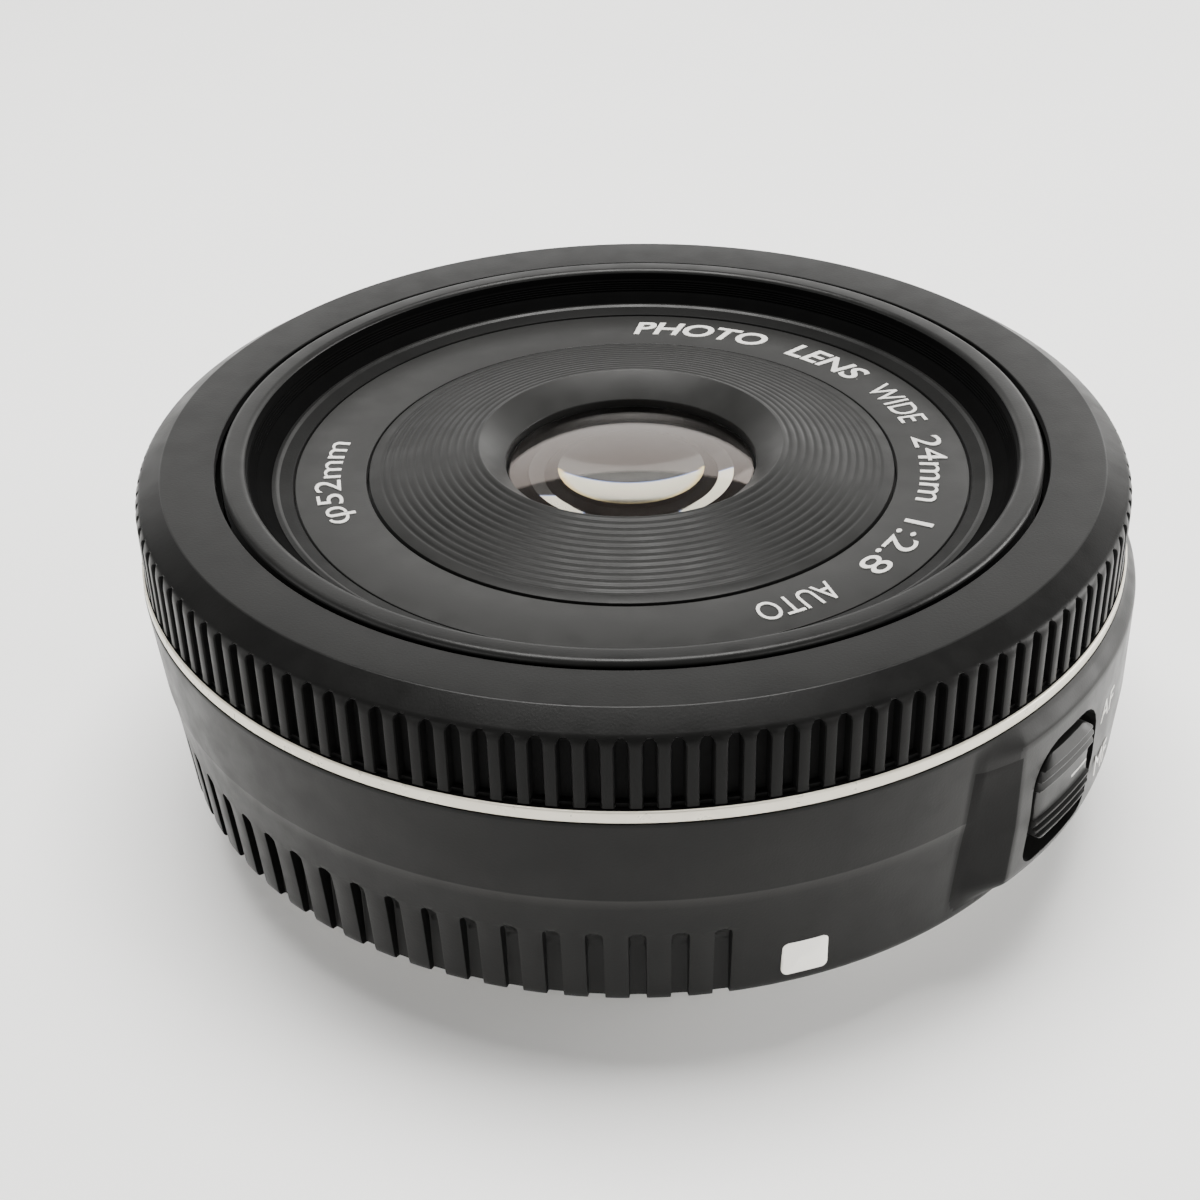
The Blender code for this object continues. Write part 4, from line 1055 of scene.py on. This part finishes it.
def spun(name, azimuth, profile, steps=36):
    """Turn a profile round a screw's own axis, parallel to the optical axis."""
    x, y, _ = polar(SCREW_CIRCLE, azimuth, 0.0)
    points = [(x + r * cos(2 * pi * step / steps), y + r * sin(2 * pi * step / steps), z)
              for r, z in profile for step in range(steps)]
    faces = ends(len(profile), steps) + skin(len(profile), steps, round_trip=False)
    return solid(name, points, faces)


def cross_recess(azimuth):
    """A plus-shaped cutter for a screw head."""
    x, y, _ = polar(SCREW_CIRCLE, azimuth, 0.0)
    long, thin = RECESS_HALF_LENGTH, RECESS_HALF_WIDTH
    arm = [(long, -thin), (long, thin), (thin, thin)]
    outline = arm + [(-b, a) for a, b in arm] + [(-a, -b) for a, b in arm] + [(b, -a) for a, b in arm]
    points = [(x + a, y + b, z) for z in (-0.2, RECESS_FLOOR) for a, b in outline]
    count = len(outline)
    return solid("recess", points, ends(2, count) + skin(2, count, round_trip=False))


mount = turned("bayonet_ring", [
    (TAIL_BORE, FLANGE_HIGH, 0.2), (FLANGE_REACH, FLANGE_HIGH, 0.2), (FLANGE_REACH, FLANGE_FACE, 0.25),
    (TAIL_OUTER + 0.5, FLANGE_FACE), (TAIL_OUTER + 0.35, FLANGE_FACE + 0.2),
    (TAIL_OUTER, FLANGE_FACE + 0.2), (TAIL_OUTER, TAIL_END, 0.3), (TAIL_BORE, TAIL_END, 0.2)], steps=240)
for azimuth in LUG_AZIMUTHS:
    cut(mount, lug(azimuth), "UNION")
for azimuth in SCREW_AZIMUTHS:
    cut(mount, spun("sink", azimuth, SINK))
shade(mount, 30.0)
finish_piece(mount, STEEL, "casing", "mount_metal", "mount_ring")
for number, azimuth in enumerate(SCREW_AZIMUTHS, 1):
    screw = spun(f"flange_screw_{number}", azimuth, SCREW)
    cut(screw, cross_recess(azimuth))
    shade(screw, 30.0)
    finish_piece(screw, SCREW_BLACK, "casing", "steel", f"mount_screw_{number}")

REAR_CURVE, REAR_EDGE = 22.0, 8.5
rear_face = [(radius, 2 * foot("lens_6") - height)
             for radius, height in dome(foot("lens_6"), REAR_CURVE, REAR_EDGE, 16)]
rear_glass = turned("rear_glass", rear_face + [(REAR_EDGE, 0.6), (0.0, 1.0)],
                    steps=160, sharp=50.0, closed=False)
finish_piece(rear_glass, GLASS, "optical_group", "glass", "lens_6")

# ---------------------------------------------------------------- stage, light and camera

FLOOR_HALF = 900.0


def stage_floor():
    """A plain sheet of pale paper, level with the bottom of the part."""
    low = cad_box[0][2] / MM
    points = [(x * FLOOR_HALF, y * FLOOR_HALF, low) for x, y in ((-1, -1), (1, -1), (1, 1), (-1, 1))]
    floor = solid("floor", points, [(0, 1, 2, 3)])
    paint = Paint("floor_paper")
    paint.link(paint.ramp(paint.noise(30.0, 3.0), (0.3, (0.94, 0.94, 0.93)), (0.7, (0.96, 0.96, 0.95))),
               "Base Color")
    paint.set(Roughness=0.9)
    floor.data.materials.append(paint.material)


# name: azimuth, elevation, distance, size, power; the lights look at the flange's centre
SOFTBOXES = {
    "top_softbox": (90.0, 85.0, 520.0, (380.0, 240.0), 6.5),
    "back_softbox": (92.0, 19.0, 600.0, (1150.0, 385.0), 2.6),
    "window_softbox": (55.0, 21.0, 590.0, (350.0, 330.0), 0.5),
    "left_softbox": (190.0, 12.0, 500.0, (320.0, 200.0), 0.6),
    "right_softbox": (8.0, 12.0, 500.0, (320.0, 200.0), 3.0),
    "fill_left": (-130.0, 14.0, 500.0, (200.0, 120.0), 0.4),
    "fill_right": (-50.0, 14.0, 500.0, (200.0, 120.0), 0.5)}
LAMP_COLOUR = (1.0, 0.99, 0.97)
WORLD_STRENGTH = 0.25


def softbox(name, azimuth, elevation, distance, size, power):
    data = bpy.data.lights.new(name, "AREA")
    data.shape = "RECTANGLE"
    data.size, data.size_y = size[0] * MM, size[1] * MM
    data.energy = power
    data.color = LAMP_COLOUR
    lamp = bpy.data.objects.new(name, data)
    bpy.context.scene.collection.objects.link(lamp)
    x, y, z = polar(distance * cos(radians(elevation)), azimuth, distance * sin(radians(elevation)))
    lamp.location = (x * MM, y * MM, z * MM)
    lamp.rotation_euler = (-lamp.location).to_track_quat("-Z", "Y").to_euler()


def studio_world():
    """Even white light from all round."""
    world = bpy.data.worlds.new("studio")
    world.use_nodes = True
    background = world.node_tree.nodes["Background"]
    background.inputs["Color"].default_value = (1.0, 1.0, 1.0, 1.0)
    background.inputs["Strength"].default_value = WORLD_STRENGTH
    bpy.context.scene.world = world


def photo_camera():
    """The photo's viewing angle: from the -Y side, 32 degrees above the flange plane."""
    lens_mm, distance, tilt = 61.014, 146.484, radians(32.0448)
    roll, slip_y, slip_x = radians(0.8853), radians(-0.9345), radians(1.2507)
    target = Vector((0.0, 0.0, 12.4))
    back = Vector((0.0, -cos(tilt), sin(tilt)))
    side = Vector((1.0, 0.0, 0.0))
    level = Matrix((side, back.cross(side), back))
    turn = (Matrix.Rotation(roll, 3, "Z") @ Matrix.Rotation(slip_x, 3, "X")
            @ Matrix.Rotation(slip_y, 3, "Y"))
    pose = (turn @ level).transposed().to_4x4()
    pose.translation = (target + back * distance) * MM
    data = bpy.data.cameras.new("photo_camera")
    data.lens = lens_mm
    data.sensor_width = 36.0
    data.clip_start = 0.005
    camera = bpy.data.objects.new("photo_camera", data)
    bpy.context.scene.collection.objects.link(camera)
    camera.matrix_world = pose
    bpy.context.scene.camera = camera


stage_floor()
studio_world()
for name, setting in SOFTBOXES.items():
    softbox(name, *setting)
photo_camera()
